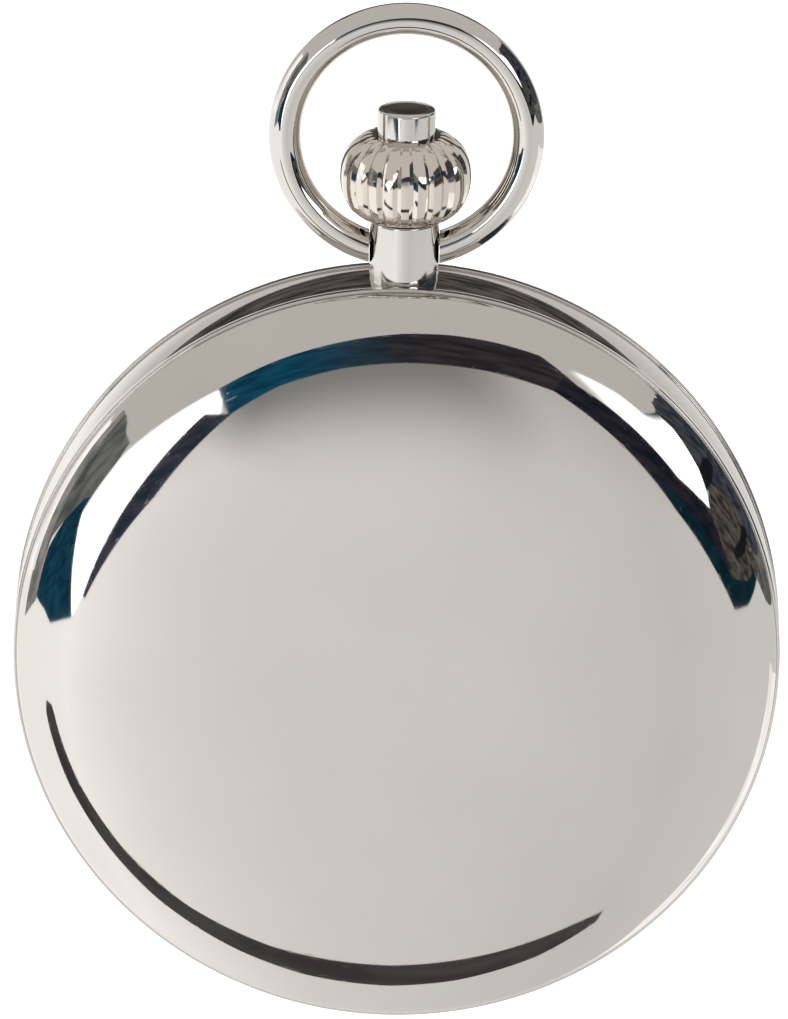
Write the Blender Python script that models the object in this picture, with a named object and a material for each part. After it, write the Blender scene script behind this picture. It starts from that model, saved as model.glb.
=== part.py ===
"""Hunter pocket watch with a ribbed crown, a push cap, a round bow, two hinged covers and its movement.

Metres, +Z up. The watch hangs upright: crown at +Z, front cover facing -Y. The origin is the point at
the top of the bow's loop where a chain's ring would bear.
Sizes below are millimetres. Case and movement pieces are drawn as seen from the front: x to the right,
up, and front, which is the distance from the case's middle plane towards the viewer.
"""

import math

import bmesh
import bpy
from mathutils import Matrix, Vector

MM = 0.001
TAU = 2 * math.pi

# Driving dimensions of the case, millimetres
CASE_R = 25.0            # outer radius of the covers
BAND_R = 24.9            # outer radius of the case middle
BAND_INNER_R = 22.6      # bore of the case middle
BAND_HALF = 2.3          # half the width of the case middle
SEAM = 0.05              # gap between a cover and the case middle
LIP_HEIGHT = 0.7         # straight lip at a cover's edge
LIP_STEP = 0.2           # how far the dome starts inside the lip
DOME_RISE = 3.4          # height of a cover's dome above its lip
DOME_POWER = 2.6         # how flat the dome is in its middle
FLAT_R = 3.0             # radius of the flat at the middle of a cover
COVER_WALL = 0.65        # thickness of a cover
CASE_SEGMENTS = 44
GLASS_SEGMENTS = 36
DOME_STEPS = 5           # points along half of a cover's dome

# Glass, bezel and case springs, millimetres
BEZEL_R = 23.4
BEZEL_BORE = 21.0
CRYSTAL_R = 21.2
CRYSTAL_SEAT = 3.3       # height of the step that the crystal sits on
DIAL_R = 21.9
SPRING_R = 22.45         # outer radius of the lift and lock springs
SPRING_THICK = 0.3
SPRING_SPAN = 48         # degrees of the case that a spring covers

# Pendant, crown and bow, millimetres from the case's centre
NECK_R = 2.26
NECK_TOP = 28.9
STEM_BORE_R = 1.25
STEM_R = 0.6
CROWN_R = 4.25
CROWN_BASE = 29.1
CROWN_TOP = 34.6
CROWN_RIBS = 24
RIB_DEPTH = 0.14         # depth of the grooves between the crown's ribs
CAP_R = 1.88
CAP_TOP = 36.4
BOW_CENTRE = 34.55      # height of the bow's centre
BOW_R = 7.92             # radius of the wire's centre line
BOW_WIRE_R = 1.04
BOW_END_GAP = 0.08
PIVOT_HEIGHT = 27.5      # height of the axis that the bow swings on
HANG_HEIGHT = BOW_CENTRE + BOW_R - BOW_WIRE_R

# Cover hinges at 6 o'clock, millimetres
HINGE_DROP = 24.5        # distance of a hinge's axis below the case's centre
HINGE_OUT = 2.3          # distance of a hinge's axis from the middle plane
KNUCKLE_R = 0.5
KNUCKLE_CLEARANCE = 0.12 # room round a knuckle
HINGE_PIN_R = 0.28
KNUCKLE_GAP = 0.08
COVER_KNUCKLE = 2.4      # length of the cover's middle knuckle
CASE_KNUCKLE = 1.6       # length of each of the case's two knuckles
LIP_SWING_R = 0.9        # how far from the hinge's axis the lip reaches as it turns
LIP_SWING_LENGTH = 10.2  # width of the lip that turns below the axis

STEM_SLOT = 2.3          # half width of the room for the winding work at 12 o'clock

# Movement layers, millimetres in front of the middle plane
DIAL_BACK, DIAL_FRONT = 2.2, 2.45
PLATE_BACK, PLATE_FRONT = 0.8, 1.35
BRIDGE_BACK, BRIDGE_FRONT = -1.85, -1.3
TOP_WHEEL_BACK, TOP_WHEEL_FRONT = -2.6, -2.12
MOVEMENT_R = 20.5
HAND_HOUR, HAND_MINUTE, HAND_SECONDS = (2.72, 2.88), (3.05, 3.2), (2.5, 2.58)
HOUR_TURN, MINUTE_TURN = 52, -60     # where the hands point, degrees anticlockwise from 12
SECONDS_SINK_R = 4.3

# Each train wheel's and pinion's back and front face, millimetres
BARREL_TOOTH_LAYER = (0.4, 0.7)
DRUM_LAYER = (-0.7, 0.55)
CENTRE_WHEEL_LAYER, CENTRE_PINION_LAYER = (-1.05, -0.85), (0.36, 0.72)
THIRD_WHEEL_LAYER, THIRD_PINION_LAYER = (-0.5, -0.3), (-1.15, -0.7)
FOURTH_WHEEL_LAYER, FOURTH_PINION_LAYER = (0.1, 0.3), (-0.65, -0.15)
ESCAPE_WHEEL_LAYER, ESCAPE_PINION_LAYER = (-0.9, -0.7), (-0.05, 0.5)
CANNON_LAYER, MINUTE_WHEEL_LAYER = (1.42, 1.7), (1.42, 1.66)
MINUTE_PINION_LAYER, HOUR_WHEEL_LAYER = (1.65, 2.05), (1.8, 2.05)

# Wheel train: teeth and modules (millimetres of pitch diameter per tooth)
BARREL_TEETH, CENTRE_PINION = 72, 12
CENTRE_TEETH, THIRD_PINION = 64, 8
THIRD_TEETH, FOURTH_PINION = 60, 8
FOURTH_TEETH, ESCAPE_PINION = 60, 6
ESCAPE_TEETH = 15
CANNON_TEETH, MINUTE_TEETH = 12, 36
MINUTE_PINION, HOUR_TEETH = 10, 40
CROWN_WHEEL_TEETH, RATCHET_TEETH = 24, 32
WINDING_TEETH = 14
BARREL_MODULE = 0.2
TRAIN_MODULE = 0.18
THIRD_MODULE = 0.165
FAST_MODULE = 0.14
MOTION_MODULE = 0.14
SHAFT_GAP = 0.05         # running gap round a shaft, and between pieces that slide
BEARING_R = 0.55
CLICK_PIVOT_REACH = 5.9  # distance of the click's pivot from the ratchet wheel's centre
CLICK_LENGTH = 1.36
CROWN_WHEEL_AT = (0.0, 10.6)
FOURTH_AT = (0.0, -9.0)
SETTING_AT = (3.35, 17.4)
YOKE_AT = (3.3, 12.6)

MATERIALS = {
    # name: (colour, metallic, roughness)
    "case_metal": ((0.78, 0.77, 0.75), 1.0, 0.06),
    "steel": ((0.62, 0.63, 0.65), 1.0, 0.22),
    "blued_steel": ((0.03, 0.06, 0.22), 1.0, 0.25),
    "gilt_brass": ((0.83, 0.65, 0.33), 1.0, 0.28),
    "nickel_plate": ((0.72, 0.70, 0.67), 1.0, 0.3),
    "enamel": ((0.93, 0.92, 0.88), 0.0, 0.2),
    "crystal_glass": ((0.95, 0.97, 0.97), 0.0, 0.03),
    "gasket_rubber": ((0.06, 0.06, 0.06), 0.0, 0.7),
}


# ---------------------------------------------------------------- tools

def start_empty():
    for old in list(bpy.data.objects):
        bpy.data.objects.remove(old, do_unlink=True)


def material(name):
    found = bpy.data.materials.get(name)
    if found:
        return found
    colour, metallic, roughness = MATERIALS[name]
    made = bpy.data.materials.new(name)
    made.use_nodes = True
    shader = made.node_tree.nodes["Principled BSDF"]
    shader.inputs["Base Color"].default_value = (*colour, 1.0)
    shader.inputs["Metallic"].default_value = metallic
    shader.inputs["Roughness"].default_value = roughness
    return made


def circle(radius, count, centre=(0.0, 0.0), start=0.0):
    """Points of a circle, anticlockwise."""
    return [
        (centre[0] + radius * math.cos(start + TAU * i / count),
         centre[1] + radius * math.sin(start + TAU * i / count))
        for i in range(count)
    ]


def solid_from(vertices, faces):
    body = bmesh.new()
    made = [body.verts.new(v) for v in vertices]
    for face in faces:
        body.faces.new([made[i] for i in face])
    bmesh.ops.recalc_face_normals(body, faces=body.faces)
    return body


def turned(profile, segments=32, start=0.0):
    """A solid of revolution about +Z from a closed outline of (radius, height)."""
    body = bmesh.new()
    rings = []
    for radius, height in profile:
        if radius < 1e-6:
            rings.append([body.verts.new((0.0, 0.0, height))])
        else:
            ring = circle(radius, segments, start=start)
            rings.append([body.verts.new((x, y, height)) for x, y in ring])
    for k, ring in enumerate(rings):
        after = rings[(k + 1) % len(rings)]
        for i in range(segments):
            j = (i + 1) % segments
            if len(ring) == 1 and len(after) == 1:
                continue
            if len(ring) == 1:
                body.faces.new((ring[0], after[i], after[j]))
            elif len(after) == 1:
                body.faces.new((ring[i], ring[j], after[0]))
            else:
                body.faces.new((ring[i], ring[j], after[j], after[i]))
    bmesh.ops.recalc_face_normals(body, faces=body.faces)
    return body


def rod(radius, low, high, segments=16, start=0.0):
    return turned([(0, low), (radius, low), (radius, high), (0, high)], segments, start)


def tube(inner, outer, low, high, segments=32):
    return turned([(inner, low), (outer, low), (outer, high), (inner, high)], segments)


def prism(outline, low, high):
    """A flat piece: a closed outline of (x, y), extruded from low to high."""
    body = bmesh.new()
    face = body.faces.new([body.verts.new((x, y, low)) for x, y in outline])
    grown = bmesh.ops.extrude_face_region(body, geom=[face])["geom"]
    top = [v for v in grown if isinstance(v, bmesh.types.BMVert)]
    bmesh.ops.translate(body, verts=top, vec=(0, 0, high - low))
    bmesh.ops.recalc_face_normals(body, faces=body.faces)
    return body


def block(x0, x1, y0, y1, z0, z1):
    return prism([(x0, y0), (x1, y0), (x1, y1), (x0, y1)], z0, z1)


def moved(body, offset=(0, 0, 0), turn=None):
    if turn:
        angle, axis = turn
        bmesh.ops.rotate(body, verts=body.verts, cent=(0, 0, 0), matrix=Matrix.Rotation(angle, 3, axis))
    bmesh.ops.translate(body, verts=body.verts, vec=offset)
    return body


def as_object(body, name):
    bmesh.ops.triangulate(body, faces=[f for f in body.faces if len(f.verts) > 4])
    mesh = bpy.data.meshes.new(name)
    body.to_mesh(mesh)
    body.free()
    made = bpy.data.objects.new(name, mesh)
    bpy.context.scene.collection.objects.link(made)
    return made


def fused(first, more=(), holes=()):
    """The first body joined to more bodies, less the holes, worked out in millimetres."""
    base = as_object(first, "work")
    tools = []
    for operation, bodies in (("UNION", more), ("DIFFERENCE", holes)):
        for body in bodies:
            tool = as_object(body, "tool")
            tools.append(tool)
            cut = base.modifiers.new("cut", "BOOLEAN")
            cut.operation = operation
            cut.solver = "EXACT"
            cut.object = tool
    bpy.context.view_layer.update()
    evaluated = base.evaluated_get(bpy.context.evaluated_depsgraph_get())
    result = bmesh.new()
    result.from_mesh(evaluated.to_mesh())
    evaluated.to_mesh_clear()
    for used in [base, *tools]:
        bpy.data.objects.remove(used, do_unlink=True)
    bmesh.ops.remove_doubles(result, verts=result.verts, dist=1e-4)
    bmesh.ops.dissolve_degenerate(result, edges=result.edges, dist=1e-4)
    return result


def finish(name, body, finish_name, place, rotation):
    """Make the named object in metres, its origin at place."""
    bmesh.ops.scale(body, vec=(MM, MM, MM), verts=body.verts)
    made = as_object(body, name)
    made.location = [v * MM for v in place]
    made.rotation_euler = rotation
    made.data.materials.append(material(finish_name))
    made.data.shade_smooth()
    made.data.set_sharp_from_angle(angle=math.radians(35))
    return made


def facing(name, body, finish_name, x=0.0, up=0.0, front=0.0):
    """A piece drawn from the front (x, up, front), on an axis that runs front to back."""
    return finish(name, body, finish_name, (x, -front, up - HANG_HEIGHT), (math.pi / 2, 0, 0))


def upright(name, body, finish_name, height=0.0):
    """A piece on the stem's axis, drawn with +Z up from the case's centre."""
    return finish(name, body, finish_name, (0, 0, height - HANG_HEIGHT), (0, 0, 0))


def across(name, body, finish_name, front, up):
    """A piece on an axis that runs left to right."""
    return finish(name, body, finish_name, (0, -front, up - HANG_HEIGHT), (0, math.pi / 2, 0))


def gear(teeth, module, low, high, phase=0.0):
    """A toothed disc. Pinions get flat-topped teeth, large wheels get pointed ones."""
    pitch = teeth * module / 2
    tip, root = pitch + 0.75 * module, pitch - 1.0 * module
    step = TAU / teeth
    narrow = ((-0.24, root), (-0.04, tip), (0.04, tip), (0.24, root))
    shape = narrow if teeth < 21 else ((0, tip), (0.5, root))
    outline = []
    for k in range(teeth):
        for part, radius in shape:
            angle = phase + (k + part) * step
            outline.append((radius * math.cos(angle), radius * math.sin(angle)))
    return prism(outline, low, high)


def meshing_phase(teeth, angle, partner_teeth, partner_phase):
    """Phase of a gear that meshes with a partner lying at this angle from it."""
    back = angle + math.pi
    tooth = ((back - partner_phase) / (TAU / partner_teeth)) % 1.0
    return angle - (0.5 - tooth) * TAU / teeth


# ---------------------------------------------------------------- case

def dome_front(radius, lower=0.0):
    """Height of a cover's outer face above the middle plane, or of a face lower than it."""
    edge = CASE_R - LIP_STEP - lower
    share = max(0.0, 1.0 - (max(0.0, radius - FLAT_R) / (edge - FLAT_R)) ** DOME_POWER)
    return BAND_HALF + SEAM + LIP_HEIGHT + (DOME_RISE * math.sqrt(share) if share else 0.0) - lower


def cover_profile():
    """Outline of a cover's section: lip, dome, then back along the inner face."""
    edge = CASE_R - LIP_STEP
    steps = [math.sin(math.pi / 2 * k / DOME_STEPS) for k in range(DOME_STEPS, -1, -1)]
    outer_radii = [FLAT_R + (edge - FLAT_R) * s for s in steps] + [0.0]
    outer = [(radius, dome_front(radius)) for radius in outer_radii]
    inner_edge = edge - COVER_WALL
    inner = [(inner_edge * s, dome_front(inner_edge * s, COVER_WALL)) for s in reversed(steps)]
    base = BAND_HALF + SEAM
    lip = [(inner_edge, base), (CASE_R, base), (CASE_R, base + LIP_HEIGHT - 0.1),
           (CASE_R - 0.1, base + LIP_HEIGHT)]
    return lip + outer + inner


def hinge_rod(length, middle, radius=KNUCKLE_R, sides=12):
    """A rod along X on the front hinge's axis: a knuckle, or the room for one."""
    body = rod(radius, -length / 2, length / 2, sides)
    moved(body, turn=(math.pi / 2, "Y"))
    return moved(body, (middle, -HINGE_DROP, HINGE_OUT))


def hinge_room(length, middle, radius):
    """The room for a pin or the lip, to cut out."""
    return hinge_rod(length, middle, radius, 16)


def knuckle_room(length, middle):
    """The room for another piece's knuckle, to cut out."""
    return hinge_room(length + 2 * KNUCKLE_GAP, middle, KNUCKLE_R + KNUCKLE_CLEARANCE)


def case_knuckle_places():
    out = (COVER_KNUCKLE + CASE_KNUCKLE) / 2 + KNUCKLE_GAP
    return (-out, out)


def side_of(body, side):
    """The body as drawn for the front (1), or mirrored to the back of the watch (-1)."""
    if side < 0:
        bmesh.ops.scale(body, vec=(1, 1, -1), verts=body.verts)
        bmesh.ops.reverse_faces(body, faces=body.faces)
    return body


def cover(side):
    """A cover with its middle knuckle, cleared round the case's knuckles."""
    body = turned(cover_profile(), CASE_SEGMENTS)
    ear = hinge_rod(COVER_KNUCKLE, 0)
    holes = [knuckle_room(CASE_KNUCKLE, x) for x in case_knuckle_places()]
    holes.append(hinge_room(COVER_KNUCKLE + 2, 0, HINGE_PIN_R + SHAFT_GAP))
    made = fused(body, [ear], holes)
    return side_of(made, side)


def case_middle():
    band = turned([
        (BAND_INNER_R, -BAND_HALF),
        (BAND_R - 0.15, -BAND_HALF),
        (BAND_R, -BAND_HALF + 0.15),
        (BAND_R, BAND_HALF - 0.15),
        (BAND_R - 0.15, BAND_HALF),
        (BAND_INNER_R, BAND_HALF),
    ], CASE_SEGMENTS)
    neck = rod(NECK_R, BAND_INNER_R + 0.6, NECK_TOP, 24)
    moved(neck, turn=(-math.pi / 2, "X"))
    bore = rod(STEM_BORE_R, BAND_INNER_R - 3, NECK_TOP + 1, 20)
    moved(bore, turn=(-math.pi / 2, "X"))
    ears = []
    rooms = []
    holes = []
    for flip in (1, -1):
        for x in case_knuckle_places():
            web = block(x - CASE_KNUCKLE / 2 + 0.04, x + CASE_KNUCKLE / 2 - 0.04, -HINGE_DROP + 0.03,
                        -HINGE_DROP + 1.4, HINGE_OUT - 1.1, HINGE_OUT - 0.03)
            ears += [side_of(hinge_rod(CASE_KNUCKLE, x), flip), side_of(web, flip)]
        rooms.append(side_of(hinge_room(LIP_SWING_LENGTH, 0, LIP_SWING_R), flip))
        holes.append(side_of(knuckle_room(COVER_KNUCKLE, 0), flip))
        holes.append(side_of(hinge_room(20, 0, HINGE_PIN_R + SHAFT_GAP), flip))
    pivots = rod(0.65, -4, 4, 12)
    moved(pivots, turn=(math.pi / 2, "Y"))
    moved(pivots, (0, PIVOT_HEIGHT, 0))
    band = fused(band, (), rooms)
    facing("case_middle", fused(band, [neck, *ears], [bore, *holes, pivots]), "case_metal")


def case_pieces():
    case_middle()
    reach = COVER_KNUCKLE / 2 + KNUCKLE_GAP + CASE_KNUCKLE
    for side, sign in (("front", 1), ("back", -1)):
        body = cover(sign)
        hinge = (0, -HINGE_DROP, sign * HINGE_OUT)
        moved(body, (0, HINGE_DROP, -sign * HINGE_OUT))
        facing(f"{side}_cover", body, "case_metal", 0, hinge[1], hinge[2])
        pin = rod(HINGE_PIN_R, -reach + 0.02, reach - 0.02, 12)
        across(f"{side}_hinge_pin", pin, "steel", sign * HINGE_OUT, -HINGE_DROP)


def glass_and_bezel():
    base = BAND_HALF + SHAFT_GAP
    groove_r = CRYSTAL_R + 0.15
    bezel = turned([(DIAL_R + 0.15, base), (BEZEL_R, base), (BEZEL_R, 2.8), (21.7, 3.7), (groove_r, 3.7),
                    (groove_r, 3.0), (BEZEL_BORE, 3.0), (BEZEL_BORE, 2.6), (DIAL_R + 0.15, 2.6)],
                   GLASS_SEGMENTS)
    facing("bezel", bezel, "case_metal")
    gasket = tube(21.02, 21.22, 3.05, 3.25, GLASS_SEGMENTS)
    facing("crystal_gasket", gasket, "gasket_rubber")
    crystal = turned([(0, 3.7), (12, 3.62), (20, CRYSTAL_SEAT), (CRYSTAL_R, CRYSTAL_SEAT),
                      (CRYSTAL_R, CRYSTAL_SEAT + 0.3), (20, 3.85), (12, 4.3), (0, 4.45)], GLASS_SEGMENTS)
    facing("crystal", crystal, "crystal_glass")
    ring = tube(MOVEMENT_R + 0.15, 22.05, -1.2, 1.35, CASE_SEGMENTS)
    slot = block(-STEM_SLOT, STEM_SLOT, 0, 30, -5, 5)
    facing("movement_ring", fused(ring, (), [slot]), "nickel_plate")


def case_springs():
    """The spring that lifts the front cover, and the one that latches it."""
    for name, start, low, high in (("lift_spring", -90 - SPRING_SPAN / 2, -0.9, 0.9),
                                   ("lock_spring", 90 - 12.6, 1.5, 2.1)):
        angles = [start + SPRING_SPAN * k / 8 for k in range(9)]
        outer = [polar(SPRING_R, angle) for angle in angles]
        inner = [polar(SPRING_R - SPRING_THICK, angle) for angle in reversed(angles)]
        facing(name, prism(outer + inner, low, high), "steel")


# ---------------------------------------------------------------- pendant, crown and bow

def pendant_pieces():
    sleeve = tube(0.75, STEM_BORE_R - SHAFT_GAP, 24.0, NECK_TOP - 0.2, 20)
    upright("pendant_sleeve", sleeve, "steel")
    stem = rod(STEM_R, 11.5, CROWN_BASE + 1.6, 14)
    upright("winding_stem", stem, "steel")
    middle = (CROWN_BASE + CROWN_TOP) / 2
    shoulder = 0.55 * (CROWN_TOP - CROWN_BASE) / 2
    levels = [
        # height, radius, groove depth
        (CROWN_BASE, 2.75, 0.0),
        (CROWN_BASE + 0.35, 3.1, RIB_DEPTH),
        (middle - shoulder, 3.85, RIB_DEPTH),
        (middle, CROWN_R, RIB_DEPTH),
        (middle + shoulder, 3.85, RIB_DEPTH),
        (CROWN_TOP - 0.35, 3.0, RIB_DEPTH),
        (CROWN_TOP, 2.35, 0.0),
    ]
    count = 2 * CROWN_RIBS
    rings = []
    for height, radius, depth in levels:
        spokes = [radius - depth * (k % 2) for k in range(count)]
        rings.append([(spoke * math.cos(TAU * k / count), spoke * math.sin(TAU * k / count), height)
                      for k, spoke in enumerate(spokes)])
    vertices = [v for ring in rings for v in ring]
    faces = [tuple(range(count)), tuple(range((len(rings) - 1) * count, len(rings) * count))]
    for level in range(len(rings) - 1):
        for i in range(count):
            j = (i + 1) % count
            faces.append((level * count + i, level * count + j,
                          (level + 1) * count + j, (level + 1) * count + i))
    body = solid_from(vertices, faces)
    socket = rod(CAP_R + SHAFT_GAP, CROWN_TOP - 1.9, CROWN_TOP + 1, 20)
    stem_hole = rod(STEM_R + SHAFT_GAP, CROWN_BASE - 1, CROWN_BASE + 1.7, 14)
    neck_room = rod(NECK_R + 0.1, CROWN_BASE - 1, CROWN_BASE + 0.3, 24)
    upright("crown", fused(body, (), [socket, stem_hole, neck_room]), "case_metal")
    cap = turned([(0, CROWN_TOP - 0.9), (CAP_R, CROWN_TOP - 0.9), (CAP_R, CAP_TOP - 0.15),
                  (CAP_R - 0.15, CAP_TOP), (0, CAP_TOP)], 24)
    upright("push_cap", cap, "case_metal")
    bow_and_screws()


def bow_and_screws():
    """The bow is an open ring of round wire whose two ends turn in towards the pendant."""
    end = math.asin(1.6 / BOW_R)
    sides, steps = 8, 36
    rings = []
    for k in range(steps + 1):
        angle = -math.pi / 2 + end + (TAU - 2 * end) * k / steps
        centre = Vector((BOW_R * math.cos(angle), 0, BOW_CENTRE + BOW_R * math.sin(angle) - PIVOT_HEIGHT))
        out = Vector((math.cos(angle), 0, math.sin(angle)))
        rings.append([centre + BOW_WIRE_R * (out * math.cos(TAU * i / sides)
                                             + Vector((0, 1, 0)) * math.sin(TAU * i / sides))
                      for i in range(sides)])
    vertices = [v for ring in rings for v in ring]
    faces = [tuple(range(sides)), tuple(range(steps * sides, (steps + 1) * sides))]
    for k in range(steps):
        for i in range(sides):
            j = (i + 1) % sides
            faces.append((k * sides + i, k * sides + j, (k + 1) * sides + j, (k + 1) * sides + i))
    wire = solid_from(vertices, faces)
    drill = rod(0.45, -6, 6, 12)
    moved(drill, turn=(math.pi / 2, "Y"))
    gap = block(-NECK_R - BOW_END_GAP, NECK_R + BOW_END_GAP, -3, 3, -3, 3)
    upright("bow", fused(wire, (), [drill, gap]), "case_metal", PIVOT_HEIGHT)
    for side, sign in (("left", -1), ("right", 1)):
        screw = rod(0.4, 1.75, 3.6, 12)
        moved(screw, turn=(sign * math.pi / 2, "Y"))
        upright(f"bow_screw_{side}", screw, "steel", PIVOT_HEIGHT)


# ---------------------------------------------------------------- movement

def polar(distance, degrees, centre=(0.0, 0.0)):
    angle = math.radians(degrees)
    return centre[0] + distance * math.cos(angle), centre[1] + distance * math.sin(angle)


def pitch(teeth, module):
    return teeth * module / 2


BARREL_AT = polar(pitch(BARREL_TEETH + CENTRE_PINION, BARREL_MODULE), 135)
TOP_MODULE = 2 * math.dist(BARREL_AT, CROWN_WHEEL_AT) / (CROWN_WHEEL_TEETH + RATCHET_TEETH)


def third_place():
    """Where the third wheel meshes with both the centre wheel and the fourth wheel's pinion."""
    to_centre = pitch(CENTRE_TEETH + THIRD_PINION, TRAIN_MODULE)
    to_fourth = pitch(THIRD_TEETH + FOURTH_PINION, THIRD_MODULE)
    apart = math.hypot(*FOURTH_AT)
    share = (to_centre ** 2 + apart ** 2 - to_fourth ** 2) / (2 * to_centre * apart)
    return polar(to_centre, math.degrees(math.acos(share)) - 90)


THIRD_AT = third_place()
ESCAPE_AT = polar(pitch(FOURTH_TEETH + ESCAPE_PINION, FAST_MODULE), -158, FOURTH_AT)
PALLET_AT = polar(3.1, 152, ESCAPE_AT)
BALANCE_AT = polar(4.3, 152, PALLET_AT)
MINUTE_AT = polar(pitch(CANNON_TEETH + MINUTE_TEETH, MOTION_MODULE), 35)
HOUR_MODULE = 2 * math.hypot(*MINUTE_AT) / (MINUTE_PINION + HOUR_TEETH)
CLICK_AT = polar(CLICK_PIVOT_REACH, 205, BARREL_AT)


def angle_to(here, there):
    return math.atan2(there[1] - here[1], there[0] - here[0])


def shaft_holes(low, high, places, radius=0.35):
    return [moved(rod(radius, low, high, 10), (x, y, 0)) for x, y in places]


def frame_plates():
    plate = turned([(0, PLATE_BACK), (MOVEMENT_R, PLATE_BACK), (MOVEMENT_R, PLATE_FRONT),
                    (0, PLATE_FRONT)], 40)
    holes = shaft_holes(0, 3, [(0, 0), FOURTH_AT])
    holes.append(block(-STEM_SLOT, STEM_SLOT, 9.5, 30, 0, 3))
    facing("main_plate", fused(plate, (), holes), "nickel_plate")
    low, high = BRIDGE_BACK, BRIDGE_FRONT
    foot_top = PLATE_BACK - SHAFT_GAP
    stem_room = block(-STEM_SLOT, STEM_SLOT, 12.6, 30, -3, 3)
    bridge("barrel_bridge", sector(MOVEMENT_R - 0.5, 76, 196, 3.0), [(18.0, 103), (18.0, 192)],
           [BARREL_AT, CROWN_WHEEL_AT], low, high, foot_top, extra_holes=[stem_room])
    bridge("train_bridge", sector(MOVEMENT_R - 0.5, -64, 66, 0.6), [(18.0, 58), (18.0, -58)],
           [THIRD_AT, (0, 0)], low, high, foot_top, boss=1.3)
    bridge("balance_cock", sector(MOVEMENT_R - 0.5, 202, 236, 8.0), [(18.8, 208)],
           [BALANCE_AT], low, high, foot_top)
    bridge("escape_bridge", sector(MOVEMENT_R - 0.5, 242, 290, 7.0), [(18.5, 266)],
           [ESCAPE_AT, FOURTH_AT], low, high, foot_top)


def sector(radius, start, stop, inner):
    """A bridge's outline: a sector between two angles in degrees, its point cut off at inner."""
    steps = max(4, int(abs(stop - start) / 10))
    arc = [polar(radius, start + (stop - start) * k / steps) for k in range(steps + 1)]
    back = [polar(inner, stop), polar(inner, start)]
    return arc + back


def bridge(name, outline, feet, bearings, low, high, foot_top, boss=0.0, extra_holes=()):
    """A bridge on its feet, with bearing holes; its screws are separate pieces."""
    body = prism(outline, low, high)
    posts = [moved(rod(0.9, (low + high) / 2, foot_top, 12), (*polar(*foot), 0)) for foot in feet]
    if boss:
        posts.append(rod(boss, low, high, 20))
    holes = [*shaft_holes(-5, 0.0, bearings, BEARING_R), *extra_holes]
    screw_holes = [moved(rod(0.55, -5, 0.2, 12), (*polar(*foot), 0)) for foot in feet]
    facing(name, fused(body, posts, holes + screw_holes), "nickel_plate")
    for number, foot in enumerate(feet, 1):
        x, up = polar(*foot)
        screw = turned([(0, low - 0.35), (0.85, low - 0.35), (0.85, low - 0.05), (0.45, low - 0.05),
                        (0.45, 0.0), (0, 0.0)], 12)
        facing(f"{name}_screw_{number}", screw, "blued_steel", x, up)


def wheel_on_arbor(name, place, wheel, pinion, arbor, finish_name="gilt_brass"):
    """A wheel, its pinion and its arbor, which are riveted into one piece."""
    facing(name, fused(rod(*arbor, 10), [part for part in (wheel, pinion) if part]), finish_name, *place)


def train():
    arbor_r = 0.25
    # barrel: the drum turns on its arbor, and the ratchet wheel is squared onto the arbor
    teeth = gear(BARREL_TEETH, BARREL_MODULE, *BARREL_TOOTH_LAYER)
    drum = rod(6.6, *DRUM_LAYER, 32)
    room = turned([(0.75, -2), (6.1, -2), (6.1, 0.45), (0.75, 0.45)], 32)
    facing("barrel_drum", fused(teeth, [drum], [room, rod(0.6, -3, 3, 12)]), "gilt_brass", *BARREL_AT)
    facing("barrel_cover", tube(0.85, 6.0, -0.7, -0.55, 32), "gilt_brass", *BARREL_AT)
    arbor = turned([(0, TOP_WHEEL_BACK), (0.3, TOP_WHEEL_BACK), (0.3, -0.8), (0.5, -0.8), (0.5, 0.72),
                    (0, 0.72)], 12)
    facing("barrel_arbor", arbor, "steel", *BARREL_AT)
    facing("mainspring", spiral(0.85, 5.7, 4.5, 0.16, -0.45, 0.35, 63), "blued_steel", *BARREL_AT)

    low, top = BRIDGE_BACK + 0.1, PLATE_BACK - SHAFT_GAP
    pinion = gear(CENTRE_PINION, BARREL_MODULE, *CENTRE_PINION_LAYER,
                  meshing_phase(CENTRE_PINION, angle_to((0, 0), BARREL_AT), BARREL_TEETH, 0.0))
    wheel_on_arbor("centre_wheel", (0, 0), gear(CENTRE_TEETH, TRAIN_MODULE, *CENTRE_WHEEL_LAYER), pinion,
                   (0.3, low, 1.9))
    third_phase = meshing_phase(THIRD_PINION, angle_to(THIRD_AT, (0, 0)), CENTRE_TEETH, 0.0)
    wheel_on_arbor("third_wheel", THIRD_AT, gear(THIRD_TEETH, THIRD_MODULE, *THIRD_WHEEL_LAYER),
                   gear(THIRD_PINION, TRAIN_MODULE, *THIRD_PINION_LAYER, third_phase), (arbor_r, low, top))
    fourth_phase = meshing_phase(FOURTH_PINION, angle_to(FOURTH_AT, THIRD_AT), THIRD_TEETH, 0.0)
    wheel_on_arbor("fourth_wheel", FOURTH_AT, gear(FOURTH_TEETH, FAST_MODULE, *FOURTH_WHEEL_LAYER),
                   gear(FOURTH_PINION, THIRD_MODULE, *FOURTH_PINION_LAYER, fourth_phase),
                   (arbor_r, low, 2.72))
    escape_phase = meshing_phase(ESCAPE_PINION, angle_to(ESCAPE_AT, FOURTH_AT), FOURTH_TEETH, 0.0)
    wheel_on_arbor("escape_wheel", ESCAPE_AT, escape_teeth(*ESCAPE_WHEEL_LAYER),
                   gear(ESCAPE_PINION, FAST_MODULE, *ESCAPE_PINION_LAYER, escape_phase),
                   (0.2, low, top), "steel")


def escape_teeth(low, high):
    """The escape wheel's plate, its teeth leaning the way that it turns."""
    outline = []
    for k in range(ESCAPE_TEETH):
        step = TAU / ESCAPE_TEETH
        outline += [polar(1.75, math.degrees(k * step)), polar(2.35, math.degrees((k + 0.45) * step)),
                    polar(2.35, math.degrees((k + 0.6) * step))]
    return prism(outline, low, high)


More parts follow.
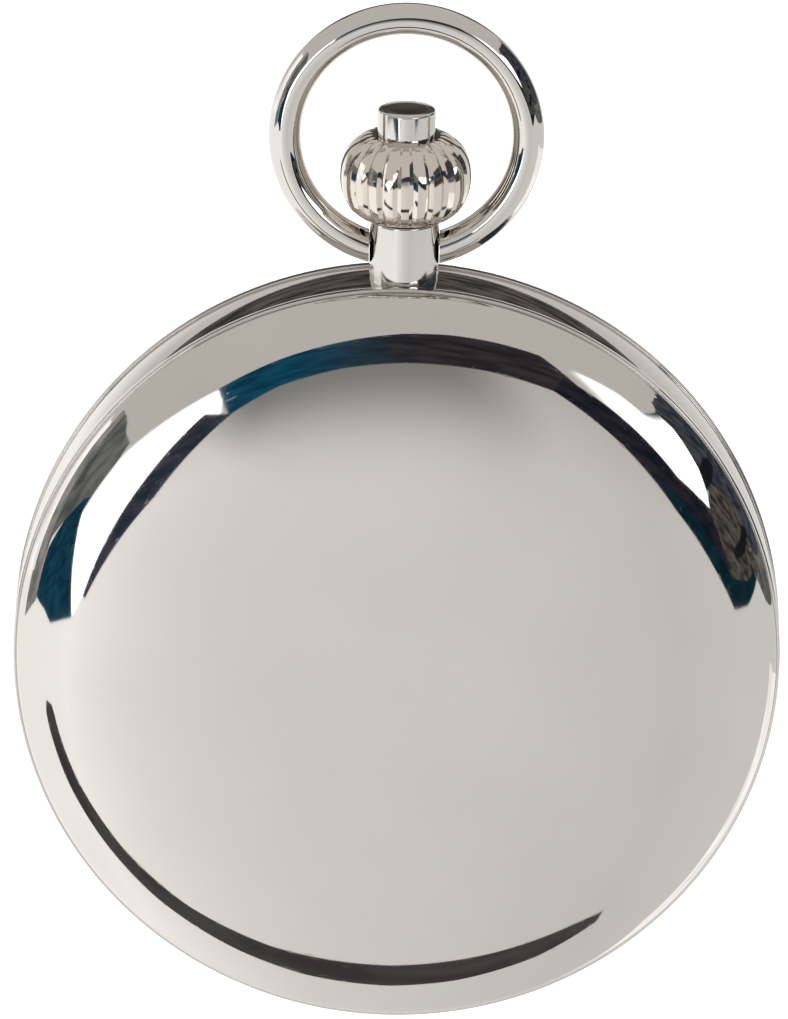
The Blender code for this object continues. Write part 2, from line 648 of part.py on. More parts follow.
def spiral(inner, outer, turns, thickness, low, high, steps):
    """A flat coil spring from inner to outer radius."""
    one, other = [], []
    for k in range(steps + 1):
        angle = TAU * turns * k / steps
        radius = inner + (outer - inner) * k / steps
        one.append(polar(radius, math.degrees(angle)))
        other.append(polar(radius + thickness, math.degrees(angle)))
    return prism(one + other[::-1], low, high)


def escapement():
    lever = [(-0.25, -0.25), (-0.25, -1.4), (0.15, -1.4), (0.35, -0.3), (3.3, -0.1), (3.4, -0.4),
             (3.55, -0.4), (3.45, 0.0), (3.55, 0.4), (3.4, 0.4), (3.3, 0.1), (0.35, 0.3), (0.15, 1.4),
             (-0.25, 1.4), (-0.25, 0.25)]
    fork = fused(prism(lever, -0.85, -0.7), [rod(0.15, -1.2, 0.7, 8)])
    moved(fork, turn=(angle_to(PALLET_AT, BALANCE_AT), "Z"))
    facing("pallet_fork", fork, "steel", *PALLET_AT)
    rim = tube(3.1, 3.6, -0.3, 0.1, 28)
    arm = block(-3.3, 3.3, -0.3, 0.3, -0.25, 0.05)
    staff = rod(0.2, BRIDGE_BACK + 0.1, 0.7, 10)
    roller = rod(0.7, -0.6, -0.45, 14)
    facing("balance_wheel", fused(rim, [arm, staff, roller]), "gilt_brass", *BALANCE_AT)
    facing("hairspring", spiral(0.45, 2.3, 5, 0.06, -1.15, -1.0, 55), "blued_steel", *BALANCE_AT)


def motion_work():
    phase = meshing_phase(CANNON_TEETH, angle_to((0, 0), MINUTE_AT), MINUTE_TEETH, 0.0)
    cannon = fused(gear(CANNON_TEETH, MOTION_MODULE, *CANNON_LAYER, phase), [rod(0.55, 1.5, 3.3, 16)],
                   [rod(0.3 + SHAFT_GAP, 1, 2.0, 10)])
    facing("cannon_pinion", cannon, "steel")
    pinion = gear(MINUTE_PINION, HOUR_MODULE, *MINUTE_PINION_LAYER)
    wheel_on_arbor("minute_wheel", MINUTE_AT, gear(MINUTE_TEETH, MOTION_MODULE, *MINUTE_WHEEL_LAYER), pinion,
                   (0.25, 1.4, 2.1))
    hour_phase = meshing_phase(HOUR_TEETH, angle_to((0, 0), MINUTE_AT), MINUTE_PINION, 0.0)
    hour = fused(gear(HOUR_TEETH, HOUR_MODULE, *HOUR_WHEEL_LAYER, hour_phase), [rod(0.85, 1.8, 2.95, 16)],
                 [rod(0.55 + SHAFT_GAP, 1, 4, 16)])
    facing("hour_wheel", hour, "gilt_brass")


def hand(length, width, tail, low, high, hole_r):
    """A hand that points up: a tapered blade, a counterpoise and a drilled boss."""
    ring_r = hole_r + 0.45
    outline = [(-width * 0.4, -tail), (width * 0.4, -tail), (width * 0.5, 0), (width, length * 0.62),
               (0, length), (-width, length * 0.62), (-width * 0.5, 0)]
    return fused(prism(outline, low, high), [rod(ring_r, low, high, 16)], [rod(hole_r, 0, 5, 16)])


def dial_side():
    dial = turned([(0, DIAL_BACK), (DIAL_R, DIAL_BACK), (DIAL_R, DIAL_FRONT), (0, DIAL_FRONT)], CASE_SEGMENTS)
    sink = moved(rod(SECONDS_SINK_R, DIAL_FRONT - 0.1, 4, 32), (*FOURTH_AT, 0))
    holes = [rod(0.95, 0, 5, 16), moved(rod(0.4, 0, 5, 12), (*FOURTH_AT, 0))]
    facing("dial", fused(dial, (), [sink, *holes]), "enamel")
    hour = moved(hand(10.5, 0.85, 2.0, *HAND_HOUR, 0.9), turn=(math.radians(HOUR_TURN), "Z"))
    minute = moved(hand(16.5, 0.65, 3.0, *HAND_MINUTE, 0.6), turn=(math.radians(MINUTE_TURN), "Z"))
    seconds = hand(3.6, 0.14, 1.3, *HAND_SECONDS, 0.3)
    facing("hour_hand", hour, "blued_steel")
    facing("minute_hand", minute, "blued_steel")
    facing("seconds_hand", seconds, "blued_steel", *FOURTH_AT)


def keyless_work():
    """Winding and setting pieces at 12 o'clock."""
    ratchet_phase = meshing_phase(RATCHET_TEETH, angle_to(BARREL_AT, CROWN_WHEEL_AT), CROWN_WHEEL_TEETH, 0.0)
    low, high = TOP_WHEEL_BACK, TOP_WHEEL_FRONT
    bore = rod(0.3 + SHAFT_GAP, -5, 0, 12)
    facing("ratchet_wheel", fused(gear(RATCHET_TEETH, TOP_MODULE, low, high, ratchet_phase), (), [bore]),
           "steel", *BARREL_AT)
    stud = rod(0.5, low - 0.2, BRIDGE_FRONT, 12)
    facing("crown_wheel_stud", stud, "steel", *CROWN_WHEEL_AT)
    ring = gear(CROWN_WHEEL_TEETH, TOP_MODULE, low, high)
    facing("crown_wheel", fused(ring, (), [rod(0.5 + SHAFT_GAP, -5, 0, 12)]), "steel", *CROWN_WHEEL_AT)
    winding = gear(WINDING_TEETH, TOP_MODULE, 13.1, 14.1)
    upright("winding_pinion", fused(winding, (), [rod(STEM_R + SHAFT_GAP, 12, 16, 14)]), "steel")
    sliding = fused(rod(1.15, 12.15, 13.0, 16), (), [rod(STEM_R + SHAFT_GAP, 11, 15, 14)])
    upright("sliding_pinion", sliding, "steel")
    click = [(-0.5, -0.4), (0.6, -0.5), (CLICK_LENGTH, -0.12), (CLICK_LENGTH, 0.12), (0.6, 0.5), (-0.5, 0.4)]
    click_body = fused(prism(click, low, high), [rod(0.6, low - 0.1, high, 14)])
    facing("click", moved(click_body, turn=(angle_to(CLICK_AT, BARREL_AT), "Z")), "steel", *CLICK_AT)
    blade = [(0.75, 0.3), (0.9, 0.3), (1.2, 3.6), (1.6, 4.6), (1.2, 4.6), (0.9, 3.7)]
    facing("click_spring", moved(prism(blade, low, high), turn=(math.radians(95), "Z")), "steel", *CLICK_AT)
    lever = [(-0.6, -0.6), (0.6, -0.6), (0.6, 0.6), (-2.6, 1.1), (-2.6, 0.7)]
    facing("setting_lever", prism(lever, 0.25, 0.6), "steel", *SETTING_AT)
    yoke = [(-0.5, -0.5), (0.5, -0.5), (0.5, 0.5), (-1.95, 0.2), (-1.95, -0.1)]
    facing("yoke", prism(yoke, -0.15, 0.15), "steel", *YOKE_AT)


def build():
    start_empty()
    case_pieces()
    glass_and_bezel()
    case_springs()
    pendant_pieces()
    frame_plates()
    train()
    escapement()
    motion_work()
    dial_side()
    keyless_work()


build()
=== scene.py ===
"""Looks of a hunter pocket watch: its polished case, bow and crown, and the movement inside.

Lengths are millimetres unless a name says otherwise. Places are drawn as seen from the front: x to the
right, up, and front, which is the distance from the case's middle plane towards the viewer. A body
drawn that way is set into the frame's metres by placed(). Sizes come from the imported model's boxes.
"""
import math

import bmesh
import bpy
from mathutils import Matrix, Vector


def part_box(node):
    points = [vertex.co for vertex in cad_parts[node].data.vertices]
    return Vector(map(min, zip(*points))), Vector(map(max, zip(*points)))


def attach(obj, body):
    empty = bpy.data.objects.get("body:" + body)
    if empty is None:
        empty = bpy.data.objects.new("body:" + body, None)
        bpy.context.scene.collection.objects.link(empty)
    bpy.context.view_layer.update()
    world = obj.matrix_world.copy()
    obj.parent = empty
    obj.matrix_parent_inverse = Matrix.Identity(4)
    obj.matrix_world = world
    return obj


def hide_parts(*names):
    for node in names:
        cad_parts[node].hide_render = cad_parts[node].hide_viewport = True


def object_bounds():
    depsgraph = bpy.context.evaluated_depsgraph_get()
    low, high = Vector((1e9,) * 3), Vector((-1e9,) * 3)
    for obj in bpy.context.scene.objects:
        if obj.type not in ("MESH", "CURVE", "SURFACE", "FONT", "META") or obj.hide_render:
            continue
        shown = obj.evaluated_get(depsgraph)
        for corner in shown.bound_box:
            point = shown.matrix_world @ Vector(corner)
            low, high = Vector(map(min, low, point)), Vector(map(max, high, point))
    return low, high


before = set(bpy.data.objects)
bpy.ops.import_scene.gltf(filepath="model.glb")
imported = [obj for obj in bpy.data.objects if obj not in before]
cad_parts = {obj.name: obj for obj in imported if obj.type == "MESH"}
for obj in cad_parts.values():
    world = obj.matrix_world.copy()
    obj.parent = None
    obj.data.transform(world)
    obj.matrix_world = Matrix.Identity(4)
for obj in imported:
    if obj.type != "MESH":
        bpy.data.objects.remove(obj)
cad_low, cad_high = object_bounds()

MM = 0.001
TAU = 2 * math.pi
X, UP, FRONT = 0, 1, 2
WAVE_SCALE = 0.314          # a wave texture of this scale has one wave to the metre


def box_mm(node):
    """A node's lowest and highest corner as (x, up, front), up measured from the frame's origin."""
    low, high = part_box(node)
    return Vector((low[0], low[2], -high[1])) / MM, Vector((high[0], high[2], -low[1])) / MM


def half_size(node, axis):
    """Half of a node's size along an axis."""
    low, high = box_mm(node)
    return (high[axis] - low[axis]) / 2


def middle(node, axis):
    """The place of a node's middle along an axis."""
    low, high = box_mm(node)
    return (high[axis] + low[axis]) / 2


# Sizes read from the frame
DROP = -middle("bezel", UP)                       # depth of the case's centre below the origin
CASE_R = half_size("front_cover", X)
DOME_TOP = box_mm("front_cover")[1][FRONT]
HINGE_UP = middle("front_hinge_pin", UP) + DROP
HINGE_OUT = middle("front_hinge_pin", FRONT)
PIVOT_UP = middle("bow_screw_left", UP) + DROP
BOW_OUTER = half_size("bow", X)
BOW_WIRE = half_size("bow", FRONT)
BOW_TOP = box_mm("bow")[1][UP] + DROP
CROWN_BASE = box_mm("crown")[0][UP] + DROP
CROWN_TOP = box_mm("crown")[1][UP] + DROP
CROWN_R = half_size("crown", X)
CAP_R = half_size("push_cap", X)
CAP_TOP = box_mm("push_cap")[1][UP] + DROP
SECONDS_UP = middle("fourth_wheel", UP) + DROP

# Details of the case that the boxes don't give
BAND_R = CASE_R - 0.1
BAND_BORE = 22.6
BAND_HALF = 2.3
LIP_HEIGHT = 0.7            # of a cover's beaded edge
LIP_STEP = 0.2              # how far the dome's edge stands in from the lip
FLAT_R = 3.0                # radius of the dome's flat middle
DOME_POWER = 2.6            # how late the dome turns down
COVER_WALL = 0.65
NECK_R = 2.26
NECK_TOP = CROWN_BASE - 0.2
NECK_BORE_R = 1.27
SEAM = 0.05                 # gap between the band and a cover's lip
KNUCKLE_R = 0.5
COVER_KNUCKLE = 2.4         # length of a cover's middle knuckle
CASE_KNUCKLE = 1.6          # length of each of the case's two knuckles
KNUCKLE_GAP = 0.08          # gap between knuckles along the pin
KNUCKLE_CLEARANCE = 0.12    # gap round a knuckle
PIN_BORE_R = 0.33
WEB_SIZE = (CASE_KNUCKLE - 0.08, 1.4, 1.06)         # joins a case knuckle to the band
WEB_BACK = (0.72, -0.56)                            # a web's middle from the hinge's axis: up, front
LIP_SWING_R = 0.9           # room in the band for the lip of an opening cover
LIP_SWING_LENGTH = 10.2
CROWN_RIBS = 24


# ---------------------------------------------------------------- mesh tools


def placed(body, name, body_name, material, nodes=(), sharp=35.0):
    """Sets a body drawn in millimetres from the front into the frame as a piece that rides on a part."""
    to_frame = Matrix(((1, 0, 0, 0), (0, 0, -1, 0), (0, 1, 0, -DROP), (0, 0, 0, 1)))
    bmesh.ops.transform(body, matrix=Matrix.Scale(MM, 4) @ to_frame, verts=body.verts)
    bmesh.ops.recalc_face_normals(body, faces=body.faces)
    for face in body.faces:
        face.smooth = True
    mesh = bpy.data.meshes.new(name)
    body.to_mesh(mesh)
    body.free()
    mesh.set_sharp_from_angle(angle=math.radians(sharp))
    mesh.materials.append(material)
    piece = bpy.data.objects.new(name, mesh)
    bpy.context.scene.collection.objects.link(piece)
    if nodes:
        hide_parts(*nodes)
    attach(piece, body_name)


def skin(rings, closed=True):
    """A skin over rings of points, capped at both ends, or an open sheet when closed is False."""
    body = bmesh.new()
    made = [[body.verts.new(point) for point in ring] for ring in rings]
    count = len(rings[0])
    for here, there in zip(made, made[1:]):
        for i in range(count if closed else count - 1):
            j = (i + 1) % count
            body.faces.new((here[i], here[j], there[j], there[i]))
    if closed:
        body.faces.new(made[0])
        body.faces.new(made[-1])
    return body


def turned(profile, segments=192):
    """A solid of revolution about the front axis from a closed outline of (radius, front)."""
    body = bmesh.new()
    angles = [TAU * i / segments for i in range(segments)]
    rings = []
    for radius, front in profile:
        if radius < 1e-6:
            rings.append([body.verts.new((0, 0, front))])
            continue
        rings.append([body.verts.new((radius * math.cos(a), radius * math.sin(a), front)) for a in angles])
    for k, here in enumerate(rings):
        there = rings[(k + 1) % len(rings)]
        if len(here) == 1 and len(there) == 1:
            continue
        for i in range(segments):
            j = (i + 1) % segments
            near = (here[i % len(here)], here[j % len(here)])
            far = (there[j % len(there)], there[i % len(there)])
            body.faces.new(list(dict.fromkeys(near + far)))
    return body


def joined(bodies):
    """One body from several; each is freed."""
    whole = bmesh.new()
    for body in bodies:
        mesh = bpy.data.meshes.new("part")
        body.to_mesh(mesh)
        body.free()
        whole.from_mesh(mesh)
        bpy.data.meshes.remove(mesh)
    return whole


def moved(body, offset=(0, 0, 0), turn=None):
    """The body after a turn (radians, axis) and then an offset."""
    if turn:
        bmesh.ops.transform(body, matrix=Matrix.Rotation(turn[0], 4, turn[1]), verts=body.verts)
    bmesh.ops.translate(body, vec=offset, verts=body.verts)
    return body


def upright(body, up=0.0):
    """Turns a body of revolution so that its axis points up."""
    return moved(body, (0, up, 0), (-math.pi / 2, "X"))


def arc(centre, radius, start, stop, steps):
    """Points along an arc, angles in degrees."""
    points = []
    for k in range(steps + 1):
        angle = math.radians(start + (stop - start) * k / steps)
        points.append((centre[0] + radius * math.cos(angle), centre[1] + radius * math.sin(angle)))
    return points


def prism(outline, low, high, bevel):
    """A plate from an outline in x and up, its edges bevelled."""
    body = bmesh.new()
    bottom = [body.verts.new((x, y, low)) for x, y in outline]
    top = [body.verts.new((x, y, high)) for x, y in outline]
    body.faces.new(list(reversed(bottom)))
    body.faces.new(top)
    for i in range(len(outline)):
        j = (i + 1) % len(outline)
        body.faces.new((bottom[i], bottom[j], top[j], top[i]))
    rims = [edge for edge in body.edges if edge.verts[0].co.z == edge.verts[1].co.z]
    bmesh.ops.bevel(body, geom=rims, offset=bevel, segments=2, affect="EDGES", clamp_overlap=True)
    return body


def rod(radius, length, segments=48):
    """A round bar along the front axis, round the origin."""
    half = length / 2
    return turned([(0, -half), (radius, -half), (radius, half), (0, half)], segments)


def block(wide, tall, deep):
    """A box round the origin."""
    body = bmesh.new()
    bmesh.ops.create_cube(body, size=1.0)
    bmesh.ops.scale(body, vec=(wide, tall, deep), verts=body.verts)
    return body


def as_object(body):
    """A body as a scene object for a boolean; the body is freed."""
    bmesh.ops.recalc_face_normals(body, faces=body.faces)
    mesh = bpy.data.meshes.new("tool")
    body.to_mesh(mesh)
    body.free()
    made = bpy.data.objects.new("tool", mesh)
    bpy.context.scene.collection.objects.link(made)
    return made


def cut(body, tool):
    """What is left of a body when a tool is taken out of it; both are freed."""
    first, second = as_object(body), as_object(tool)
    step = first.modifiers.new("cut", "BOOLEAN")
    step.operation = "DIFFERENCE"
    step.solver = "EXACT"
    step.object = second
    bpy.context.view_layer.update()
    result = bmesh.new()
    result.from_object(first, bpy.context.evaluated_depsgraph_get())
    for used in (first, second):
        mesh = used.data
        bpy.data.objects.remove(used)
        bpy.data.meshes.remove(mesh)
    return result


# ---------------------------------------------------------------- materials


def add_node(tree, kind, links=(), **settings):
    """A shader node with its settings; links tell what each socket gets, an output or a constant."""
    made = tree.nodes.new(kind)
    for key, value in settings.items():
        setattr(made, key, value)
    for socket, source in dict(links).items():
        if hasattr(source, "is_linked"):
            tree.links.new(source, made.inputs[socket])
        else:
            made.inputs[socket].default_value = source
    return made


class Paint:
    """A Principled material whose nodes are added one at a time."""

    def __init__(self, name, colour, metallic, roughness, **sockets):
        self.material = bpy.data.materials.new(name)
        self.material.use_nodes = True
        self.tree = self.material.node_tree
        self.shader = self.tree.nodes["Principled BSDF"]
        self.shader.inputs["Base Color"].default_value = (*colour, 1.0)
        self.shader.inputs["Metallic"].default_value = metallic
        self.shader.inputs["Roughness"].default_value = roughness
        for socket, value in sockets.items():
            self.shader.inputs[socket.replace("_", " ")].default_value = value
        self.place = self.node("ShaderNodeTexCoord").outputs["Object"]

    def node(self, kind, links=(), **settings):
        return add_node(self.tree, kind, links, **settings)

    def noise(self, scale, detail=3.0, roughness=0.5, stretch=(1, 1, 1), turn=(0, 0, 0)):
        """Noise of that many cells to the metre, from 0 to 1."""
        mapping = self.node("ShaderNodeMapping", {"Vector": self.place, "Scale": stretch, "Rotation": turn})
        links = {"Vector": mapping.outputs[0], "Scale": scale, "Detail": detail, "Roughness": roughness}
        return self.node("ShaderNodeTexNoise", links).outputs["Fac"]

    def spread(self, value, low, high, start=0.3, stop=0.7):
        """The value's range from start to stop laid out from low to high."""
        links = {"Value": value, "From Min": start, "From Max": stop, "To Min": low, "To Max": high}
        return self.node("ShaderNodeMapRange", links).outputs["Result"]

    def scratches(self, scale):
        """Fine hairlines in three directions: narrow crests of stretched noise."""
        crest_start, crest_full = 0.6755, 0.7334
        crests = []
        for turn in (0.3, 1.4, 2.5):
            lines = self.noise(scale, 2.0, 0.5, (1, 26, 1), (turn, turn * 0.7, turn))
            crests.append(self.spread(lines, 0.0, 1.0, crest_start, crest_full))
        return self.math("MAXIMUM", self.math("MAXIMUM", crests[0], crests[1]), crests[2])

    def math(self, operation, first, second):
        return self.node("ShaderNodeMath", {0: first, 1: second}, operation=operation).outputs[0]

    def tint(self, factor, first, second):
        """A mix of two colours."""
        mix = self.node("ShaderNodeMix", {0: factor, 6: (*first, 1.0), 7: (*second, 1.0)}, data_type="RGBA")
        return mix.outputs[2]

    def set(self, socket, source):
        self.tree.links.new(source, self.shader.inputs[socket])

    def bump(self, height, strength, distance):
        bump = self.node("ShaderNodeBump", {"Height": height, "Strength": strength, "Distance": distance})
        self.set("Normal", bump.outputs[0])


def polished(name, colour, second, roughness=(0.02, 0.045)):
    """Mirror-polished plated metal: faint hairlines, breath-like haze and a slight waviness."""
    paint = Paint(name, colour, 1.0, roughness[0])
    haze = paint.noise(120, 4.0)
    lines = paint.scratches(900)
    paint.set("Base Color", paint.tint(paint.spread(haze, 0, 1), colour, second))
    rough = paint.spread(paint.noise(340, 5.0, 0.6), *roughness)
    paint.set("Roughness", paint.math("ADD", rough, paint.math("MULTIPLY", lines, 0.05)))
    waves = paint.noise(55, 1.0)
    paint.bump(paint.math("ADD", paint.math("MULTIPLY", lines, -0.05), waves), 0.10, 0.00002)
    return paint.material


def machined(name, colour, second, roughness, grain):
    """Fine-machined metal: a brushed grain with patchy colour and roughness."""
    paint = Paint(name, colour, 1.0, roughness)
    brushed = paint.noise(grain, 4.0, 0.6, (1, 1, 30), (0.4, 0.2, 0.5))
    paint.set("Base Color", paint.tint(paint.spread(paint.noise(300, 4.0), 0, 1), colour, second))
    paint.set("Roughness", paint.spread(brushed, roughness * 0.7, roughness * 1.4))
    paint.bump(brushed, 0.35, 0.00001)
    return paint.material


def perlage(name, colour, second):
    """Plates finished with rows of overlapping polished spots."""
    spot_size, rings_to_spot = 0.0011, 46.0
    paint = Paint(name, colour, 1.0, 0.3)
    links = {"Vector": paint.place, "Scale": 1 / spot_size, "Randomness": 0.12}
    spots = paint.node("ShaderNodeTexVoronoi", links, feature="F1").outputs["Distance"]
    rings = paint.math("MULTIPLY", spots, rings_to_spot)
    swirl = paint.node("ShaderNodeMath", {0: rings}, operation="SINE").outputs[0]
    paint.set("Base Color", paint.tint(paint.spread(spots, 0, 1, 0.0, 0.7), colour, second))
    paint.set("Roughness", paint.spread(swirl, 0.18, 0.38, -1, 1))
    paint.bump(swirl, 0.25, 0.00001)
    return paint.material


def striped(name, colour, second):
    """Bridges finished with broad parallel stripes."""
    pitch = 0.0014
    paint = Paint(name, colour, 1.0, 0.25)
    links = {"Vector": paint.place, "Scale": WAVE_SCALE / pitch, "Distortion": 0.0}
    waves = paint.node("ShaderNodeTexWave", links, bands_direction="X", wave_profile="SAW").outputs["Fac"]
    grain = paint.noise(2600, 3.0, 0.6, (1, 1, 14), (0, 0.5, 0))
    paint.set("Base Color", paint.tint(paint.spread(waves, 0, 1, 0, 1), colour, second))
    paint.set("Roughness", paint.spread(paint.math("ADD", waves, grain), 0.16, 0.36, 0.2, 1.6))
    paint.bump(paint.math("ADD", waves, paint.math("MULTIPLY", grain, 0.3)), 0.3, 0.00003)
    return paint.material


def snailed(node, colour, second):
    """A steel wheel finished with fine circles round its own middle."""
    pitch = 0.0003
    paint = Paint(f"snailed_{node}", colour, 1.0, 0.2)
    to_middle = [-(low + high) / 2 for low, high in zip(*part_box(node))]
    centred = paint.node("ShaderNodeMapping", {"Vector": paint.place, "Location": to_middle}).outputs[0]
    links = {"Vector": centred, "Scale": WAVE_SCALE / pitch, "Distortion": 0.4}
    circles = paint.node("ShaderNodeTexWave", links, wave_type="RINGS", rings_direction="Y").outputs["Fac"]
    paint.set("Base Color", paint.tint(circles, colour, second))
    paint.set("Roughness", paint.spread(circles, 0.16, 0.3, 0, 1))
    paint.bump(circles, 0.3, 0.00001)
    return paint.material


def blued(name):
    """Heat-blued steel: deep blue that drifts to violet."""
    paint = Paint(name, (0.008, 0.028, 0.12), 1.0, 0.18)
    drift = paint.spread(paint.noise(420, 3.0), 0, 1, 0.35, 0.65)
    paint.set("Base Color", paint.tint(drift, (0.006, 0.030, 0.13), (0.016, 0.022, 0.10)))
    grain = paint.noise(2400, 4.0, 0.6, (1, 1, 18))
    paint.set("Roughness", paint.spread(grain, 0.12, 0.26))
    paint.bump(grain, 0.15, 0.00001)
    return paint.material


def enamel(name, colour, second, roughness=0.16, coat=0.6):
    """Fired enamel: faint clouding and an orange-peel gloss."""
    paint = Paint(name, colour, 0.0, roughness, Coat_Weight=coat, Coat_Roughness=0.05)
    paint.set("Base Color", paint.tint(paint.spread(paint.noise(180, 5.0), 0, 1), colour, second))
    paint.set("Roughness", paint.spread(paint.noise(900, 3.0), roughness * 0.8, roughness * 1.3))
    paint.bump(paint.noise(1400, 2.0), 0.12, 0.00001)
    return paint.material


def glass(name):
    """Mineral glass with a trace of dust and hairlines."""
    paint = Paint(name, (0.97, 0.985, 0.98), 0.0, 0.02, Transmission_Weight=1.0, IOR=1.5)
    dust = paint.spread(paint.noise(260, 4.0), 0.005, 0.025)
    hairlines = paint.math("MULTIPLY", paint.scratches(700), 0.03)
    paint.set("Roughness", paint.math("ADD", dust, hairlines))
    return paint.material


def rubber(name):
    """Black rubber with a dull, finely grained skin."""
    paint = Paint(name, (0.03, 0.03, 0.03), 0.0, 0.6)
    grain = paint.noise(3000, 3.0)
    mottle = paint.spread(grain, 0, 1)
    paint.set("Base Color", paint.tint(mottle, (0.022, 0.022, 0.023), (0.05, 0.05, 0.05)))
    paint.set("Roughness", paint.spread(grain, 0.5, 0.75))
    paint.bump(grain, 0.3, 0.00002)
    return paint.material


CASE_METAL = polished("case_metal", (0.665, 0.64, 0.61), (0.64, 0.615, 0.585))
SOFT_METAL = polished("handled_metal", (0.67, 0.645, 0.62), (0.63, 0.60, 0.57), (0.07, 0.12))
WARM_METAL = polished("warm_metal", (0.73, 0.68, 0.62), (0.69, 0.63, 0.56), (0.06, 0.11))
STEEL = machined("steel", (0.55, 0.55, 0.56), (0.46, 0.46, 0.48), 0.2, 3000)
GILT = machined("gilt_brass", (0.80, 0.58, 0.25), (0.70, 0.48, 0.18), 0.24, 2200)
NICKEL = perlage("nickel_plate", (0.66, 0.63, 0.59), (0.54, 0.51, 0.48))
BRIDGE = striped("bridge_plate", (0.68, 0.65, 0.61), (0.58, 0.55, 0.51))
BLUE = blued("blued_steel")
ENAMEL = enamel("enamel", (0.90, 0.885, 0.84), (0.86, 0.84, 0.79))
INK = enamel("dial_ink", (0.004, 0.004, 0.005), (0.010, 0.010, 0.012), 0.6, 0.0)
GLASS = glass("crystal_glass")
RUBBER = rubber("gasket_rubber")


# ---------------------------------------------------------------- case

DOME_EDGE = CASE_R - LIP_STEP
CASE_KNUCKLE_OUT = (COVER_KNUCKLE + CASE_KNUCKLE) / 2 + KNUCKLE_GAP
CASE_KNUCKLES_AT = (-CASE_KNUCKLE_OUT, CASE_KNUCKLE_OUT)
LIP_TOP = BAND_HALF + SEAM + LIP_HEIGHT


def dome_front(radius, lower=0.0):
    """Height of a cover's outer face above the middle plane, or of a face lower than it."""
    edge = DOME_EDGE - lower
    share = max(0.0, 1.0 - (max(0.0, radius - FLAT_R) / (edge - FLAT_R)) ** DOME_POWER)
    return LIP_TOP + (DOME_TOP - LIP_TOP) * math.sqrt(share) - lower


def dome_radii(edge, steps):
    """Radii from the edge inwards, close together where the dome turns down."""
    return [FLAT_R + (edge - FLAT_R) * math.sin(math.pi / 2 * k / steps) for k in range(steps, -1, -1)]


def cover_profile():
    """The outline of a cover: its lip, the dome's outside and the dome's inside."""
    base = BAND_HALF + SEAM
    inner_edge = DOME_EDGE - COVER_WALL
    lower, upper = 0.1, 0.12            # roundings of the lip's two edges
    lip = [(inner_edge, base), (CASE_R - upper, base)]
    lip += arc((CASE_R - lower, base + lower), lower, -90, 0, 4)
    lip += arc((CASE_R - upper, LIP_TOP - upper), upper, 0, 90, 5)
    lip += [(DOME_EDGE - 0.02, LIP_TOP - 0.03)]
    outer = [(radius, dome_front(radius)) for radius in dome_radii(DOME_EDGE, 72)]
    outer += [(FLAT_R * share, dome_front(0)) for share in (0.6, 0.2, 0.0)]
    inner = [(radius, dome_front(radius, COVER_WALL)) for radius in reversed(dome_radii(inner_edge, 20))]
    return lip + outer + [(0.0, dome_front(0, COVER_WALL))] + inner


def on_hinge(body, x):
    """Lays a body of revolution along the front hinge's axis."""
    return moved(moved(body, turn=(math.pi / 2, "Y")), (x, HINGE_UP, HINGE_OUT))


def knuckle(length, x):
    """A barrel of the front hinge, its ends rounded and drilled for the pin."""
    bore, edge = 0.3, 0.07
    half = length / 2
    profile = [
        (bore, -half),
        *arc((KNUCKLE_R - edge, -half + edge), edge, -90, 0, 3),
        *arc((KNUCKLE_R - edge, half - edge), edge, 0, 90, 3),
        (bore, half),
    ]
    return on_hinge(turned(profile, 40), x)


def knuckle_room(length, x):
    """The room for another piece's knuckle, to cut out."""
    return on_hinge(rod(KNUCKLE_R + KNUCKLE_CLEARANCE, length + 2 * KNUCKLE_GAP), x)


def mirrored(body):
    """The body on the other side of the middle plane."""
    bmesh.ops.scale(body, vec=(1, 1, -1), verts=body.verts)
    return body


def notched(body):
    """Cuts the room for the case's knuckles and the pin out of a cover's lip."""
    for x in CASE_KNUCKLES_AT:
        body = cut(body, knuckle_room(CASE_KNUCKLE, x))
    return cut(body, on_hinge(rod(PIN_BORE_R, COVER_KNUCKLE + 2), 0))


def cover(side):
    """A cover: the bead of its lip, the dome, its inside, and the middle knuckle of its hinge."""
    parts = [notched(turned(cover_profile())), knuckle(COVER_KNUCKLE, 0)]
    if side == "back":
        parts = [mirrored(part) for part in parts]
    placed(joined(parts), f"{side}_lid", f"{side}_cover", CASE_METAL, [f"{side}_cover"])


def band():
    """The case middle: a rounded band, the pendant on it, and the outer knuckles of both hinges."""
    edge = 0.22
    recess = 0.25                       # how far the inside is hollowed between its two edges
    profile = [(BAND_BORE, -BAND_HALF), (BAND_R - edge, -BAND_HALF)]
    profile += arc((BAND_R - edge, -BAND_HALF + edge), edge, -90, 0, 6)[1:]
    profile += [(BAND_R + 0.04, 0.0)]
    profile += arc((BAND_R - edge, BAND_HALF - edge), edge, 0, 90, 6)
    profile += [
        (BAND_BORE, BAND_HALF),
        (BAND_BORE, 1.6),
        (BAND_BORE + recess, 1.5),
        (BAND_BORE + recess, -1.6),
        (BAND_BORE, -1.7),
    ]
    ring = cut(turned(profile), upright(rod(NECK_BORE_R + 0.03, 8), BAND_R))
    ears = []
    for flip in (False, True):
        for room in (knuckle_room(COVER_KNUCKLE, 0), on_hinge(rod(LIP_SWING_R, LIP_SWING_LENGTH), 0)):
            ring = cut(ring, mirrored(room) if flip else room)
        for x in CASE_KNUCKLES_AT:
            web = moved(block(*WEB_SIZE), (x, HINGE_UP + WEB_BACK[0], HINGE_OUT + WEB_BACK[1]))
            pair = [knuckle(CASE_KNUCKLE, x), web]
            ears += [mirrored(part) for part in pair] if flip else pair
    placed(joined([ring, *ears]), "case_band", "case", CASE_METAL, ["case_middle"])
    placed(pendant(), "pendant_neck", "case", SOFT_METAL)


